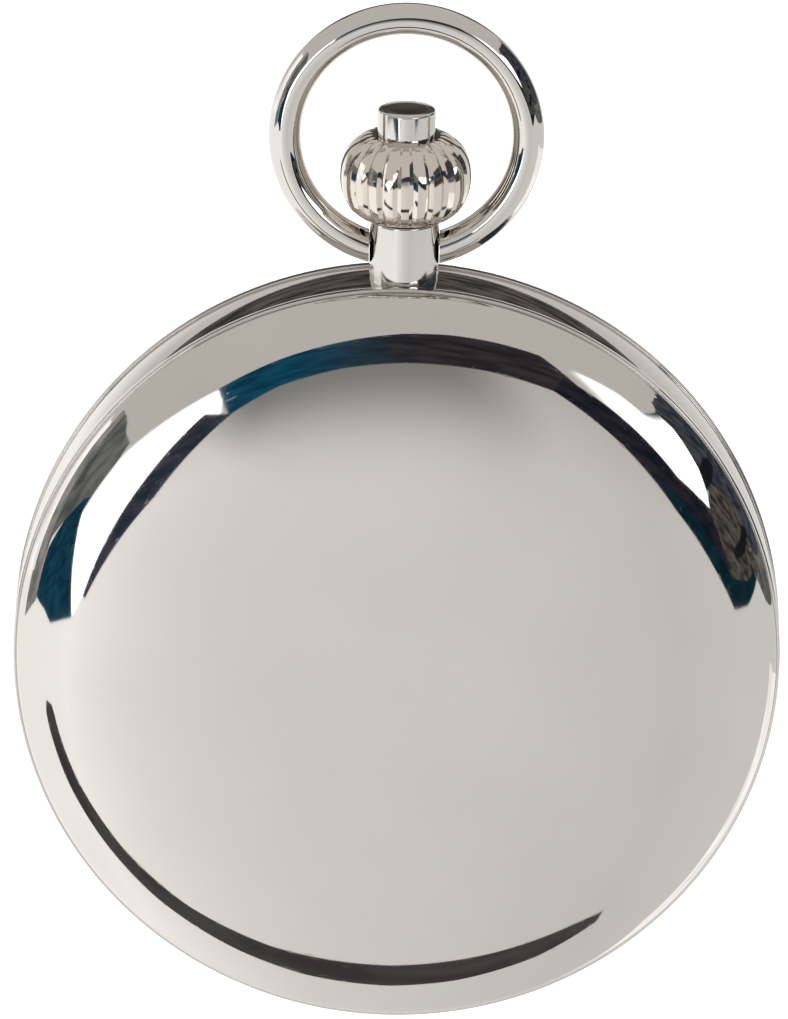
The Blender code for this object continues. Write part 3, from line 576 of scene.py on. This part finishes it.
def pendant():
    """The plain neck, its upper edge rounded."""
    foot = BAND_BORE + 0.9
    edge = 0.15
    profile = [(NECK_BORE_R, foot), (NECK_R, foot), (NECK_R, NECK_TOP - edge - 0.03)]
    profile += [*arc((NECK_R - edge, NECK_TOP - edge), edge, 0, 90, 5), (NECK_BORE_R, NECK_TOP)]
    return upright(turned(profile, 96))


def bow():
    """The round wire, ending flat beside the pendant."""
    ring_r = BOW_OUTER - BOW_WIRE
    centre_up = BOW_TOP - BOW_OUTER
    face = NECK_R + 0.03                            # the flat ends' distance from the middle
    end = math.asin((face - 0.9) / ring_r)          # the wire starts inside the neck and is cut at the face
    forward = Vector((0, 0, 1))
    steps, sides = 260, 48
    rings = []
    for k in range(steps + 1):
        angle = -math.pi / 2 + end + (TAU - 2 * end) * k / steps
        out = Vector((math.cos(angle), math.sin(angle), 0))
        centre = Vector((0, centre_up, 0)) + ring_r * out
        around = [TAU * i / sides for i in range(sides)]
        rings.append([centre + BOW_WIRE * (out * math.cos(a) + forward * math.sin(a)) for a in around])
    wire = cut(skin(rings), moved(block(2 * face, 5, 5), (0, PIVOT_UP, 0)))
    placed(wire, "bow_ring", "bow", CASE_METAL, ["bow"])


def crown():
    """The onion crown: broad flat ribs parted by shallow V grooves that run right to its upper rim."""
    steps, around = 64, 20                          # rings from the base up, points round one rib
    groove_depth, crest_share = 0.15, 0.5
    crest_rounding = 0.015
    base_r, top_r = 2.62, 2.3
    half = (CROWN_TOP - CROWN_BASE) / 2
    centre = CROWN_BASE + half
    rings = []
    for k in range(steps + 1):
        swing = math.pi * k / steps
        height = centre - half * math.cos(swing)
        lean = abs(math.cos(swing))
        end_r = base_r if height < centre else top_r
        radius = end_r + (CROWN_R - end_r) * (1 - lean ** 2.4) ** 0.66
        fade = min(1.0, 9.0 * (1 - lean)) if height < centre else 1.0
        ring = []
        for i in range(CROWN_RIBS * around):
            off_crest = abs(2 * (i % around) / around - 1)      # 0 on a rib's crest, 1 in a groove
            groove = max(0.0, (off_crest - crest_share) / (1 - crest_share))
            at = radius - fade * (groove_depth * groove + crest_rounding * off_crest ** 2)
            angle = TAU * (i - around / 2) / (CROWN_RIBS * around)
            ring.append((at * math.sin(angle), height, at * math.cos(angle)))
        rings.append(ring)
    body = skin(rings)
    cap_bore = upright(rod(CAP_R + 0.05, 3.0, 64), CROWN_TOP - 0.4)
    stem_bore = upright(rod(0.66, 3.4), CROWN_BASE)
    neck_room = upright(rod(NECK_R + 0.1, 0.6, 64), CROWN_BASE)
    for room in (cap_bore, stem_bore, neck_room):
        body = cut(body, room)
    placed(body, "crown_onion", "crown", WARM_METAL, ["crown"], sharp=14)


def cap():
    """The push cap: a plain button with a rounded edge and a barely domed top."""
    low = box_mm("push_cap")[0][UP] + DROP
    edge, foot_edge, crowning = 0.16, 0.1, 0.04
    profile = [(0, low), (CAP_R - foot_edge, low), (CAP_R, low + foot_edge)]
    profile += arc((CAP_R - edge, CAP_TOP - edge - crowning), edge, 0, 80, 6)
    profile += [(CAP_R * 0.6, CAP_TOP - 0.01), (0, CAP_TOP)]
    button = upright(turned(profile, 96))
    placed(button, "cap_button", "push_cap", SOFT_METAL, ["push_cap"])


# ---------------------------------------------------------------- dial side


def bezel():
    """The ring that holds the crystal: a rounded outside, and a seat for the crystal's edge."""
    low, high = box_mm("bezel")
    outer, base, top = half_size("bezel", X), low[FRONT], high[FRONT]
    glass_r = box_mm("crystal")[1][X]
    ledge = box_mm("crystal")[0][FRONT] - 0.3
    bore, seat, foot = glass_r - 0.2, glass_r + 0.15, outer - 1.35
    foot_height, edge = 0.25, 0.05
    profile = [(foot, base), (outer - edge, base), (outer, base + edge), (outer, base + 0.38)]
    profile += arc((outer - 1.72, base - 0.42), 1.76, 26, 78, 10)
    profile += [(glass_r + 0.3, top), (seat, top - 0.06), (seat, ledge), (bore, ledge)]
    profile += [(bore, base + foot_height), (foot, base + foot_height)]
    placed(turned(profile), "glass_ring", "case", CASE_METAL, ["bezel"])


def crystal():
    """The domed watch glass, flat underneath at its edge."""
    low, high = box_mm("crystal")
    radius, seat, rise = high[X], low[FRONT], high[FRONT]
    rim_top = seat + 0.3
    thick, steps, power = 0.72, 26, 2.4
    shares = [k / steps for k in range(steps, -1, -1)]
    outer_face = [(radius * share, rim_top + (rise - rim_top) * (1 - share ** power)) for share in shares]
    inner_face = [(at, max(seat, height - thick)) for at, height in reversed(outer_face)]
    placed(turned(outer_face + inner_face), "watch_glass", "case", GLASS, ["crystal"])


def numeral_strokes(hour):
    """A plain upright numeral as thick strokes on a 2 by 3 grid, drawn round its own middle."""
    digits = {
        "0": [arc((0, 0), 1.0, 0, 360, 16)],
        "1": [[(-0.55, 0.8), (0.1, 1.5), (0.1, -1.5)]],
        "2": [arc((0, 0.6), 0.9, 170, -35, 8) + [(-0.95, -1.5), (0.95, -1.5)]],
        "3": [arc((-0.05, 0.72), 0.78, 150, -80, 7), arc((-0.05, -0.68), 0.82, 85, -150, 7)],
        "4": [[(0.5, -1.5), (0.5, 1.5), (-0.95, -0.5), (1.0, -0.5)]],
        "5": [[(0.8, 1.5), (-0.65, 1.5), (-0.8, 0.3)] + arc((-0.05, -0.55), 0.95, 115, -150, 8)],
        "6": [[(0.55, 1.5), (-0.45, 0.4)] + arc((0, -0.6), 0.9, 150, -210, 12)],
        "7": [[(-0.85, 1.5), (0.9, 1.5), (-0.2, -1.5)]],
        "8": [arc((0, 0.78), 0.72, 0, 360, 12), arc((0, -0.7), 0.85, 0, 360, 12)],
        "9": [[(-0.55, -1.5), (0.45, -0.4)] + arc((0, 0.6), 0.9, -30, 330, 12)],
    }
    digit_pitch = 2.3
    text = str(hour)
    strokes = []
    for place, digit in enumerate(text):
        shift = (place - (len(text) - 1) / 2) * digit_pitch
        tall = 1.45 if digit == "0" else 1.0
        for stroke in digits[digit]:
            strokes.append([(x + shift, y * tall) for x, y in stroke])
    return strokes


def ribbon(points, width, low, high):
    """A flat strip of even width along a line of points."""
    rings = []
    for k, point in enumerate(points):
        before = Vector(points[max(0, k - 1)])
        after = Vector(points[min(len(points) - 1, k + 1)])
        along = (after - before).normalized()
        side = Vector((-along.y, along.x)) * width / 2
        left, right = Vector(point) + side, Vector(point) - side
        rings.append([(*left, low), (*right, low), (*right, high), (*left, high)])
    return skin(rings)


def round_line(radius, width, low, high):
    """A printed circle."""
    inner, outer = radius - width / 2, radius + width / 2
    return turned([(inner, low), (outer, low), (outer, high), (inner, high)])


def clock_way(share):
    """The way from the middle to a share of the way round, clockwise from the top."""
    return Vector((math.sin(TAU * share), math.cos(TAU * share)))


def dial_marks():
    """Printed marks in raised enamel ink: numerals, the minute track and the seconds track."""
    top = box_mm("dial")[1][FRONT]
    low, high = top - 0.02, top + 0.025
    small_low, small_high = top - 0.12, top - 0.08      # the seconds dial is sunk
    numeral_r, numeral_scale, stroke_width = 15.9, 0.86, 0.42
    track_inner, track_outer, small_r = 19.25, 20.35, 4.05
    marks = []
    for hour in (1, 2, 3, 4, 5, 7, 8, 9, 10, 11, 12):
        place = clock_way(hour / 12) * numeral_r
        for stroke in numeral_strokes(hour):
            line = [(place.x + numeral_scale * x, place.y + numeral_scale * y) for x, y in stroke]
            marks.append(ribbon(line, stroke_width, low, high))
    for radius in (track_outer, track_inner):
        marks.append(round_line(radius, 0.1, low, high))
    for minute in range(60):
        way = clock_way(minute / 60)
        wide = 0.26 if minute % 5 == 0 else 0.1
        marks.append(ribbon([way * (track_inner + 0.05), way * (track_outer - 0.05)], wide, low, high))
    small_middle = Vector((0, SECONDS_UP))
    for second in range(60):
        way = clock_way(second / 60)
        length = 0.55 if second % 5 == 0 else 0.32
        wide = 0.12 if second % 15 == 0 else 0.06
        line = [small_middle + way * (small_r - length), small_middle + way * small_r]
        marks.append(ribbon(line, wide, small_low, small_high))
    placed(joined(marks), "dial_marks", "case", INK)


def spade_hand(length, width, tail, low, high, boss_r, bore_r):
    """A pear-shaped hand with a tapered stem, a drilled boss and a counterpoise, all softly bevelled."""
    stem = length * 0.68
    right = [(width * 0.28, 0.0), (width * 0.2, stem)]
    for share in (0.15, 0.3, 0.45, 0.6, 0.75, 0.9):
        swell = 0.2 + 0.8 * math.sin(math.pi * share) ** 0.9
        narrowing = min(1.0, 1.6 - share)
        right.append((width * swell * narrowing, stem + 0.8 * (length - stem) * share))
    left = [(-x, y) for x, y in reversed(right)]
    outline = [(-width * 0.32, -tail), (width * 0.32, -tail), *right, (0.0, length), *left]
    blade = prism(outline, low, high, 0.03)
    foot, crest = low - 0.01, high + 0.03
    profile = [(bore_r, foot), (boss_r, foot), (boss_r, high), (boss_r - 0.05, crest), (bore_r, crest)]
    return joined([blade, turned(profile, 48)])


def hands():
    """The blued hour and minute hands, set to about ten past ten."""
    for node, length, width, tail, boss, bore, turn, body_name in (
        ("hour_hand", 10.5, 1.5, 2.0, 1.35, 0.92, 52, "hour"),
        ("minute_hand", 16.5, 1.25, 3.0, 1.05, 0.62, -60, "centre"),
    ):
        low, high = box_mm(node)
        body = spade_hand(length, width, tail, low[FRONT], high[FRONT], boss, bore)
        moved(body, turn=(math.radians(turn), "Z"))
        placed(body, f"{node}_shape", body_name, BLUE, [node], sharp=20)


# ---------------------------------------------------------------- movement

SCREWS = (
    "balance_cock_screw_1",
    "barrel_bridge_screw_1",
    "barrel_bridge_screw_2",
    "escape_bridge_screw_1",
    "train_bridge_screw_1",
    "train_bridge_screw_2",
)


def screws():
    """The movement's screws: a bevelled cheese head with a slot, on its shank."""
    edge, deep = 0.08, 0.3
    slot_width, slot_size_front = 0.3, 0.4
    for number, node in enumerate(SCREWS):
        low, high = box_mm(node)
        head_r, back, front = half_size(node, X), low[FRONT], high[FRONT]
        shank = head_r - 0.4
        profile = [(0, back), (head_r - edge, back), (head_r, back + edge), (head_r, back + deep)]
        profile += [(shank, back + deep), (shank, front), (0, front)]
        slot = block(3 * head_r, slot_width, slot_size_front)
        slot = moved(slot, (0, 0, back), (0.5 + 0.9 * number, "Z"))
        body = moved(cut(turned(profile, 48), slot), (middle(node, X), middle(node, UP) + DROP, 0))
        placed(body, f"slotted_{node}", "case", BLUE, [node])


# ---------------------------------------------------------------- pieces kept from the frame

FINISHES = {
    NICKEL: ("main_plate", "movement_ring"),
    BRIDGE: ("barrel_bridge", "train_bridge", "balance_cock", "escape_bridge"),
    ENAMEL: ("dial",),
    GILT: ("centre_wheel", "third_wheel", "fourth_wheel", "hour_wheel", "minute_wheel", "balance_wheel",
           "barrel_drum", "barrel_cover"),
    BLUE: ("seconds_hand", "hairspring"),
    RUBBER: ("crystal_gasket",),
}


def finish_kept_nodes():
    """Gives the CAD's own pieces their finishes; those not named are plain steel."""
    finish_of = {node: finish for finish, nodes in FINISHES.items() for node in nodes}
    for node in ("ratchet_wheel", "crown_wheel"):
        finish_of[node] = snailed(node, (0.62, 0.62, 0.63), (0.36, 0.36, 0.38))
    for node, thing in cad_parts.items():
        if thing.hide_render:
            continue
        thing.data.materials.clear()
        thing.data.materials.append(finish_of.get(node, STEEL))


# ---------------------------------------------------------------- studio

CARD_DISTANCE = 3.0     # metres from the watch to the cards that it mirrors
LAYER_STEP = 0.05       # metres between layers of cards
CENTRE = Vector((0, 0, -DROP * MM))
ROOM_STRENGTH = 1.5
UPPER_ROOM = (0.683, 0.655, 0.635)      # what the room gives off above the watch's level
ROOM_LIGHT = (          # how light the room is from its far left (-1) to its far right (1)
    (-0.48, 1.30),
    (-0.35, 1.17),
    (-0.24, 1.06),
    (-0.12, 0.96),
    (0.0, 0.90),
    (0.13, 0.84),
    (0.29, 0.79),
    (0.45, 0.82),
)


def glow(name, colour, second=None, stretch=(1.0, 1.0, 1.0), scale=2.0, fades=()):
    """What a card gives off: one colour, or mottled between two.

    A fade names a share of the card's length or height, and where on it the card is clear and full.
    """
    made = bpy.data.materials.new(name)
    made.use_nodes = True
    tree = made.node_tree
    tree.nodes.clear()
    given = (*colour, 1.0)
    if second:
        place = add_node(tree, "ShaderNodeTexCoord").outputs["Object"]
        mapping = add_node(tree, "ShaderNodeMapping", {"Vector": place, "Scale": stretch}).outputs[0]
        mottle = add_node(tree, "ShaderNodeTexNoise", {"Vector": mapping, "Scale": scale, "Detail": 4.0})
        ramp = add_node(tree, "ShaderNodeValToRGB", {0: mottle.outputs["Fac"]})
        first_stop, last_stop = ramp.color_ramp.elements
        first_stop.position, last_stop.position = 0.38, 0.62
        first_stop.color, last_stop.color = given, (*second, 1.0)
        given = ramp.outputs[0]
    shown = add_node(tree, "ShaderNodeEmission", {"Color": given}).outputs[0]
    nothing = add_node(tree, "ShaderNodeBsdfTransparent").outputs[0]
    for label, clear, full in fades:
        place = add_node(tree, "ShaderNodeAttribute", attribute_name=label).outputs["Fac"]
        links = {"Value": place, "From Min": clear, "From Max": full}
        share = add_node(tree, "ShaderNodeMapRange", links, interpolation_type="SMOOTHSTEP").outputs[0]
        shown = add_node(tree, "ShaderNodeMixShader", {0: share, 1: nothing, 2: shown}).outputs[0]
    add_node(tree, "ShaderNodeOutputMaterial", {0: shown})
    return made


def direction(azimuth, elevation):
    """The way from the watch: azimuth 0 is straight ahead of its front cover, 90 to its right."""
    a, e = math.radians(azimuth), math.radians(elevation)
    return Vector((math.sin(a) * math.cos(e), -math.cos(a) * math.cos(e), math.sin(e)))


def resampled(line, count):
    """Points spread evenly along a line of azimuths and elevations."""
    lengths = [math.dist(line[k], line[k + 1]) for k in range(len(line) - 1)]
    whole = sum(lengths)
    points = []
    for n in range(count + 1):
        left = whole * n / count
        for k, length in enumerate(lengths):
            if left <= length or k == len(lengths) - 1:
                share = min(1.0, left / length)
                points.append(tuple(a + (b - a) * share for a, b in zip(line[k], line[k + 1])))
                break
            left -= length
    return points


def card(name, upper, lower, material, layer=0):
    """A card standing round the watch, between an upper and a lower edge of azimuths and elevations.

    A higher layer stands nearer and hides the ones behind it. The attributes along and across hold each
    point's share of the card's length and of its height from the upper edge down.
    """
    distance = CARD_DISTANCE - LAYER_STEP * layer
    steps, rows = 48, 6
    top, bottom = resampled(upper, steps), resampled(lower, steps)
    rings = []
    for above, below in zip(top, bottom):
        ways = [[a + (b - a) * k / rows for a, b in zip(above, below)] for k in range(rows + 1)]
        rings.append([CENTRE + distance * direction(*way) for way in ways])
    body = skin(rings, closed=False)
    mesh = bpy.data.meshes.new(name)
    body.to_mesh(mesh)
    body.free()
    along = [n / steps for n in range(steps + 1) for k in range(rows + 1)]
    across = [k / rows for n in range(steps + 1) for k in range(rows + 1)]
    for label, shares in (("along", along), ("across", across)):
        mesh.attributes.new(label, "FLOAT", "POINT").data.foreach_set("value", shares)
    mesh.materials.append(material)
    made = bpy.data.objects.new(name, mesh)
    bpy.context.scene.collection.objects.link(made)
    made.visible_camera = False
    made.visible_diffuse = False
    made.visible_shadow = False
    made.visible_transmission = False


SLATE = glow("slate", (0.09, 0.105, 0.105), (0.22, 0.225, 0.215), (1, 1, 3.0))
BROWN = glow("brown_patch", (0.030, 0.028, 0.027), (0.145, 0.130, 0.115), (1.5, 1.5, 5.0), 3.0)
SOFT_WHITE = glow("soft_white", (1.15, 1.13, 1.12), (1.5, 1.48, 1.46))

FLAG_TOP = [(-18.8, 10), (-12.5, 14.4), (-5, 18.1)]         # upper edge of the front flag, from its left
FLAG_FOOT = [(-10, 5), (-5, 6.9)]                           # a stretch of its lower edge


def left_cards():
    """A softbox before dark walls, with a pale room beyond it."""
    haze = glow("haze", (0.20, 0.21, 0.205), (0.40, 0.39, 0.38), (0.8, 0.8, 3.0))
    card("left_haze", [(-60, 24), (-70, 27), (-82, 29)], [(-58, -11), (-70, -12), (-82, -13)], haze)

    upper = [(-81, 25), (-92, 26), (-115, 24)]
    lower = [(-78, -5), (-92, -6), (-115, -8)]
    card("left_bright", upper, lower, SOFT_WHITE, 1)

    upper = [(-33, 7.5), (-40, 12.5), (-47.5, 18), (-56, 22.5), (-62, 24.5)]
    lower = [(-33, -5), (-42, -2), (-50, 0), (-58, -1), (-62, -3)]
    card("left_slate", upper, lower, SLATE, 1)

    teal = glow("teal_flag", (0.006, 0.036, 0.070), (0.012, 0.075, 0.130), (3, 3, 8))
    upper = [(-31, -1), (-40, 1), (-50, 0), (-58, -3)]
    lower = [(-29, -15), (-40, -15), (-46, -13), (-58, -10.5)]
    card("left_teal", upper, lower, teal, 2)

    white = glow("softbox", (2.6, 2.6, 2.6), fades=[("across", 0.0, 0.14)])
    upper = [(-38, -1), (-32, 6), (-18.2, 10.4)]
    lower = [(-29.5, -15), (-26.5, -13), (-14.2, 1.5)]
    card("left_softbox", upper, lower, white, 3)

    plum = glow("plum_flag", (0.022, 0.034, 0.055), (0.062, 0.060, 0.088), (3, 3, 8))
    upper = [(-17.2, 4), (-20.8, -3.3), (-26.8, -13.2)]
    lower = [(-13.2, 1.7), (-17.4, -6.4), (-26, -13.6)]
    card("flag_tail", upper, lower, plum, 4)


def front_cards():
    """The dark flag straight ahead, its teal left end and its shade, and its slope down to the right."""
    black = glow("black_flag", (0.022, 0.021, 0.024), (0.050, 0.046, 0.050), (2, 2, 6))
    upper = FLAG_TOP + [(0, 20.3), (6, 21.6), (12.5, 21.8), (18.1, 21.2)]
    lower = [(-13.2, 1.8), *FLAG_FOOT, (0, 7.8), (7.5, 8.1), (14, 7.5), (20, 8.5)]
    card("front_flag", upper, lower, black, 4)

    teal_fades = [("along", 1.0, 0.3)]
    teal_end = glow("teal_end", (0.004, 0.048, 0.100), (0.008, 0.095, 0.170), (3, 3, 8), fades=teal_fades)
    card("front_teal", FLAG_TOP + [(2, 20.6)], [(-13.4, 1.6), *FLAG_FOOT, (2, 7.9)], teal_end, 5)

    shade_fades = [("across", 1.0, 0.0), ("along", 0.0, 0.25), ("along", 1.0, 0.7)]
    shade = glow("flag_shade", (0.29, 0.295, 0.28), fades=shade_fades)
    upper = [(-17, -1), (-13.2, 1.8), *FLAG_FOOT, (0, 7.8), (7.5, 8.1), (13, 8)]
    lower = [(-12, -5), (-9, -8), (-5, -11), (0, -12), (5, -12), (8, -10), (11, -6)]
    card("flag_shade", upper, lower, shade, 1)

    navy = glow("navy_flag", (0.008, 0.013, 0.022), (0.030, 0.026, 0.038), (2, 2, 6))
    upper = [(18, 14), (20.5, 11.8), (25, 7.5), (29.4, 1.9), (37.5, 0.4)]
    lower = [(13.8, 7.6), (18.8, 1.9), (23.8, -4.4), (30, -8.8), (36, -12.4)]
    card("flag_slope", upper, lower, navy, 5)

    deep_teal = glow("deep_teal_flag", (0.004, 0.020, 0.034), (0.006, 0.034, 0.050), (3, 3, 8))
    upper = [(24, -0.5), (31, -5), (38, -8.5), (50, -7), (62, -4)]
    lower = [(23.5, -4.2), (30, -8.8), (36, -12.4), (46, -10.8), (64, -5.4)]
    card("slope_teal", upper, lower, deep_teal, 6)


def right_cards():
    """A softbox before a dusky room, with two dark lines and a brown patch."""
    dusk = glow("dusk", (0.022, 0.030, 0.044), (0.085, 0.092, 0.110), (0.6, 0.6, 5.0))
    upper = [(35, 16.5), (47.5, 23), (56, 28.8), (65, 31.9), (75, 34.4), (100, 35.6), (135, 27)]
    lower = [(33, 5), (47.5, 5), (56, 4), (65, 1), (75, 0), (100, -1), (135, -2)]
    card("right_dusk", upper, lower, dusk)

    upper = [(30, 2), (38, 1.5), (48, 8), (60, 10), (75, 9)]
    lower = [(30, -8), (38, -12), (50, -9.5), (62, -6), (75, -3)]
    card("right_brown", upper, lower, BROWN, 1)
    card("right_grey", [(66, 2), (80, 0), (135, 0)], [(66, -5), (80, -8), (135, -11)], SLATE, 1)

    ink = glow("ink_line", (0.012, 0.014, 0.018))
    upper = [(40, 7), (50, 12), (62, 17), (80, 20)]
    lower = [(41, 4.5), (50, 8.5), (62, 13.5), (80, 18.5)]
    card("right_line", upper, lower, ink, 2)
    upper = [(44, -3.5), (56, 0.5), (68, 4.5), (78, 5.5)]
    lower = [(44, -5), (56, -2), (68, 2), (78, 4)]
    card("low_line", upper, lower, ink, 2)

    white = glow("soft_end_box", (2.6, 2.6, 2.6), fades=[("across", 0.0, 0.2), ("along", 0.0, 0.2)])
    upper = [(20, 18.1), (23.1, 20.4), (31.2, 20), (34.4, 16.9), (47.5, 22.5), (51, 21)]
    lower = [(20.6, 12.2), (25, 7.6), (29.6, 2), (37.8, 0.6), (41, 4), (46, 10)]
    card("right_softbox", upper, lower, white, 4)


def outer_cards():
    """A grey arc below, a pale stretch low on the far right, and a brown patch behind."""
    strip = glow("lower_strip", (0.085, 0.080, 0.078), (0.06, 0.05, 0.055), (1.2, 1.2, 1.2))
    upper = [(-43.8, -24), (-40, -24.2), (-38.8, -27.5), (-36.2, -31.9), (-30, -38.1), (-22.5, -42.5)]
    upper += [(-12.5, -45), (0, -45.4), (10, -44.4), (20, -42.9), (24, -43)]
    lower = [(-45, -24.3), (-46.4, -26.2), (-43.8, -33.8), (-38.8, -40), (-32.5, -46.2), (-22.5, -51.2)]
    lower += [(-12.5, -54.4), (0, -55.4), (10, -54.1), (20, -50.6), (25.4, -45.6)]
    card("lower_arc", upper, lower, strip)

    upper = [(80, -18), (100, -20), (140, -20)]
    lower = [(85, -60), (105, -62), (150, -62)]
    card("right_low", upper, lower, SOFT_WHITE)

    upper = [(150, 33), (165, 30), (195, 30), (210, 33)]
    lower = [(150, 9), (165, 11), (195, 11), (210, 9)]
    card("behind", upper, lower, BROWN)


def surroundings():
    """White to the eye; what the metal mirrors is a pale room, lighter on the left and below."""
    world = bpy.data.worlds.new("studio")
    bpy.context.scene.world = world
    world.use_nodes = True
    tree = world.node_tree
    tree.nodes.clear()
    look = add_node(tree, "ShaderNodeTexCoord").outputs["Generated"]
    parts = add_node(tree, "ShaderNodeSeparateXYZ", {0: look}).outputs
    links = {"Value": parts["X"], "From Min": -1.0, "From Max": 1.0}
    across = add_node(tree, "ShaderNodeMapRange", links).outputs["Result"]
    ramp = add_node(tree, "ShaderNodeValToRGB", {0: across})
    stops = ramp.color_ramp.elements
    stops[0].position, stops[1].position = 0.22, 0.8
    stops[0].color, stops[1].color = (0.83, 0.83, 0.82, 1), (0.56, 0.56, 0.55, 1)
    for place, light in ROOM_LIGHT:
        level = light / ROOM_STRENGTH
        stops.new((place + 1) / 2).color = (level, level * 0.985, level * 0.97, 1)
    links = {"Value": parts["Z"], "From Min": -0.12, "From Max": 0.1}
    rise = add_node(tree, "ShaderNodeMapRange", links).outputs["Result"]
    above = [light / ROOM_STRENGTH for light in UPPER_ROOM] + [1]
    links = {0: rise, 6: ramp.outputs[0], 7: above}
    room = add_node(tree, "ShaderNodeMix", links, data_type="RGBA").outputs[2]
    lit = add_node(tree, "ShaderNodeBackground", {"Color": room, "Strength": ROOM_STRENGTH}).outputs[0]
    plain = add_node(tree, "ShaderNodeBackground", {"Color": (1, 1, 1, 1), "Strength": 1.0}).outputs[0]
    seen = add_node(tree, "ShaderNodeLightPath").outputs["Is Camera Ray"]
    shown = add_node(tree, "ShaderNodeMixShader", {0: seen, 1: lit, 2: plain}).outputs[0]
    add_node(tree, "ShaderNodeOutputWorld", {0: shown})


def floor():
    """A pale disc below the watch, kept out of what the metal mirrors."""
    below, radius = 0.02, 2.2
    body = bmesh.new()
    bmesh.ops.create_circle(body, cap_ends=True, radius=radius, segments=64)
    bmesh.ops.translate(body, vec=(0, 0, cad_low[2] - below), verts=body.verts)
    mesh = bpy.data.meshes.new("studio_floor")
    body.to_mesh(mesh)
    body.free()
    pale = bpy.data.materials.new("pale_floor")
    pale.use_nodes = True
    shader = pale.node_tree.nodes["Principled BSDF"]
    shader.inputs["Base Color"].default_value = (0.9, 0.9, 0.9, 1)
    shader.inputs["Roughness"].default_value = 0.9
    shader.inputs["Emission Color"].default_value = (1, 1, 1, 1)
    shader.inputs["Emission Strength"].default_value = 0.6
    mesh.materials.append(pale)
    disc = bpy.data.objects.new("studio_floor", mesh)
    bpy.context.scene.collection.objects.link(disc)
    disc.visible_glossy = False


def lamps():
    """A key and a fill light, which light the enamel and the matt pieces but don't show in the metal."""
    for name, place, size, watts in (
        ("key_light", (-0.5, -0.7, 0.5), 0.5, 6.0),
        ("fill_light", (0.6, -0.5, 0.3), 0.6, 3.0),
    ):
        lamp = bpy.data.lights.new(name, "AREA")
        lamp.shape = "DISK"
        lamp.size = size
        lamp.energy = watts
        holder = bpy.data.objects.new(name, lamp)
        holder.location = Vector(place) + CENTRE
        holder.rotation_euler = (CENTRE - holder.location).to_track_quat("-Z", "Y").to_euler()
        holder.visible_glossy = False
        bpy.context.scene.collection.objects.link(holder)


# ---------------------------------------------------------------- camera

ELEVATION = 18.5                  # degrees that the photograph looks down
ROLL = 1.09                       # degrees that the watch leans clockwise in it
VIEW_DISTANCE = 1.4               # metres
FRAME_HEIGHT = 66.56              # height of the picture at the watch
AIM = (-0.18, 8.50)               # picture's centre from the case's centre


def camera():
    """The photograph's camera, held a little above the watch."""
    data = bpy.data.cameras.new("photo_camera")
    data.sensor_width = 36.0
    data.lens = data.sensor_width * VIEW_DISTANCE / (FRAME_HEIGHT * MM)
    data.clip_start, data.clip_end = 0.01, 20.0
    eye = bpy.data.objects.new("photo_camera", data)
    bpy.context.scene.collection.objects.link(eye)
    tilt, roll = math.radians(ELEVATION), math.radians(ROLL)
    back = direction(0, ELEVATION)
    level_up = Vector((0, math.sin(tilt), math.cos(tilt)))
    level_right = Vector((1, 0, 0))
    right = level_right * math.cos(roll) + level_up * math.sin(roll)
    up = level_up * math.cos(roll) - level_right * math.sin(roll)
    target = CENTRE + MM * (AIM[0] * right + AIM[1] * up)
    facing = Matrix((right, up, back)).transposed().to_4x4()
    eye.matrix_world = Matrix.Translation(target + VIEW_DISTANCE * back) @ facing
    bpy.context.scene.camera = eye
    bpy.context.scene.view_settings.view_transform = "Standard"


for each_side in ("front", "back"):
    cover(each_side)
band()
bow()
crown()
cap()
bezel()
crystal()
dial_marks()
hands()
screws()
finish_kept_nodes()
surroundings()
left_cards()
front_cards()
right_cards()
outer_cards()
floor()
lamps()
camera()
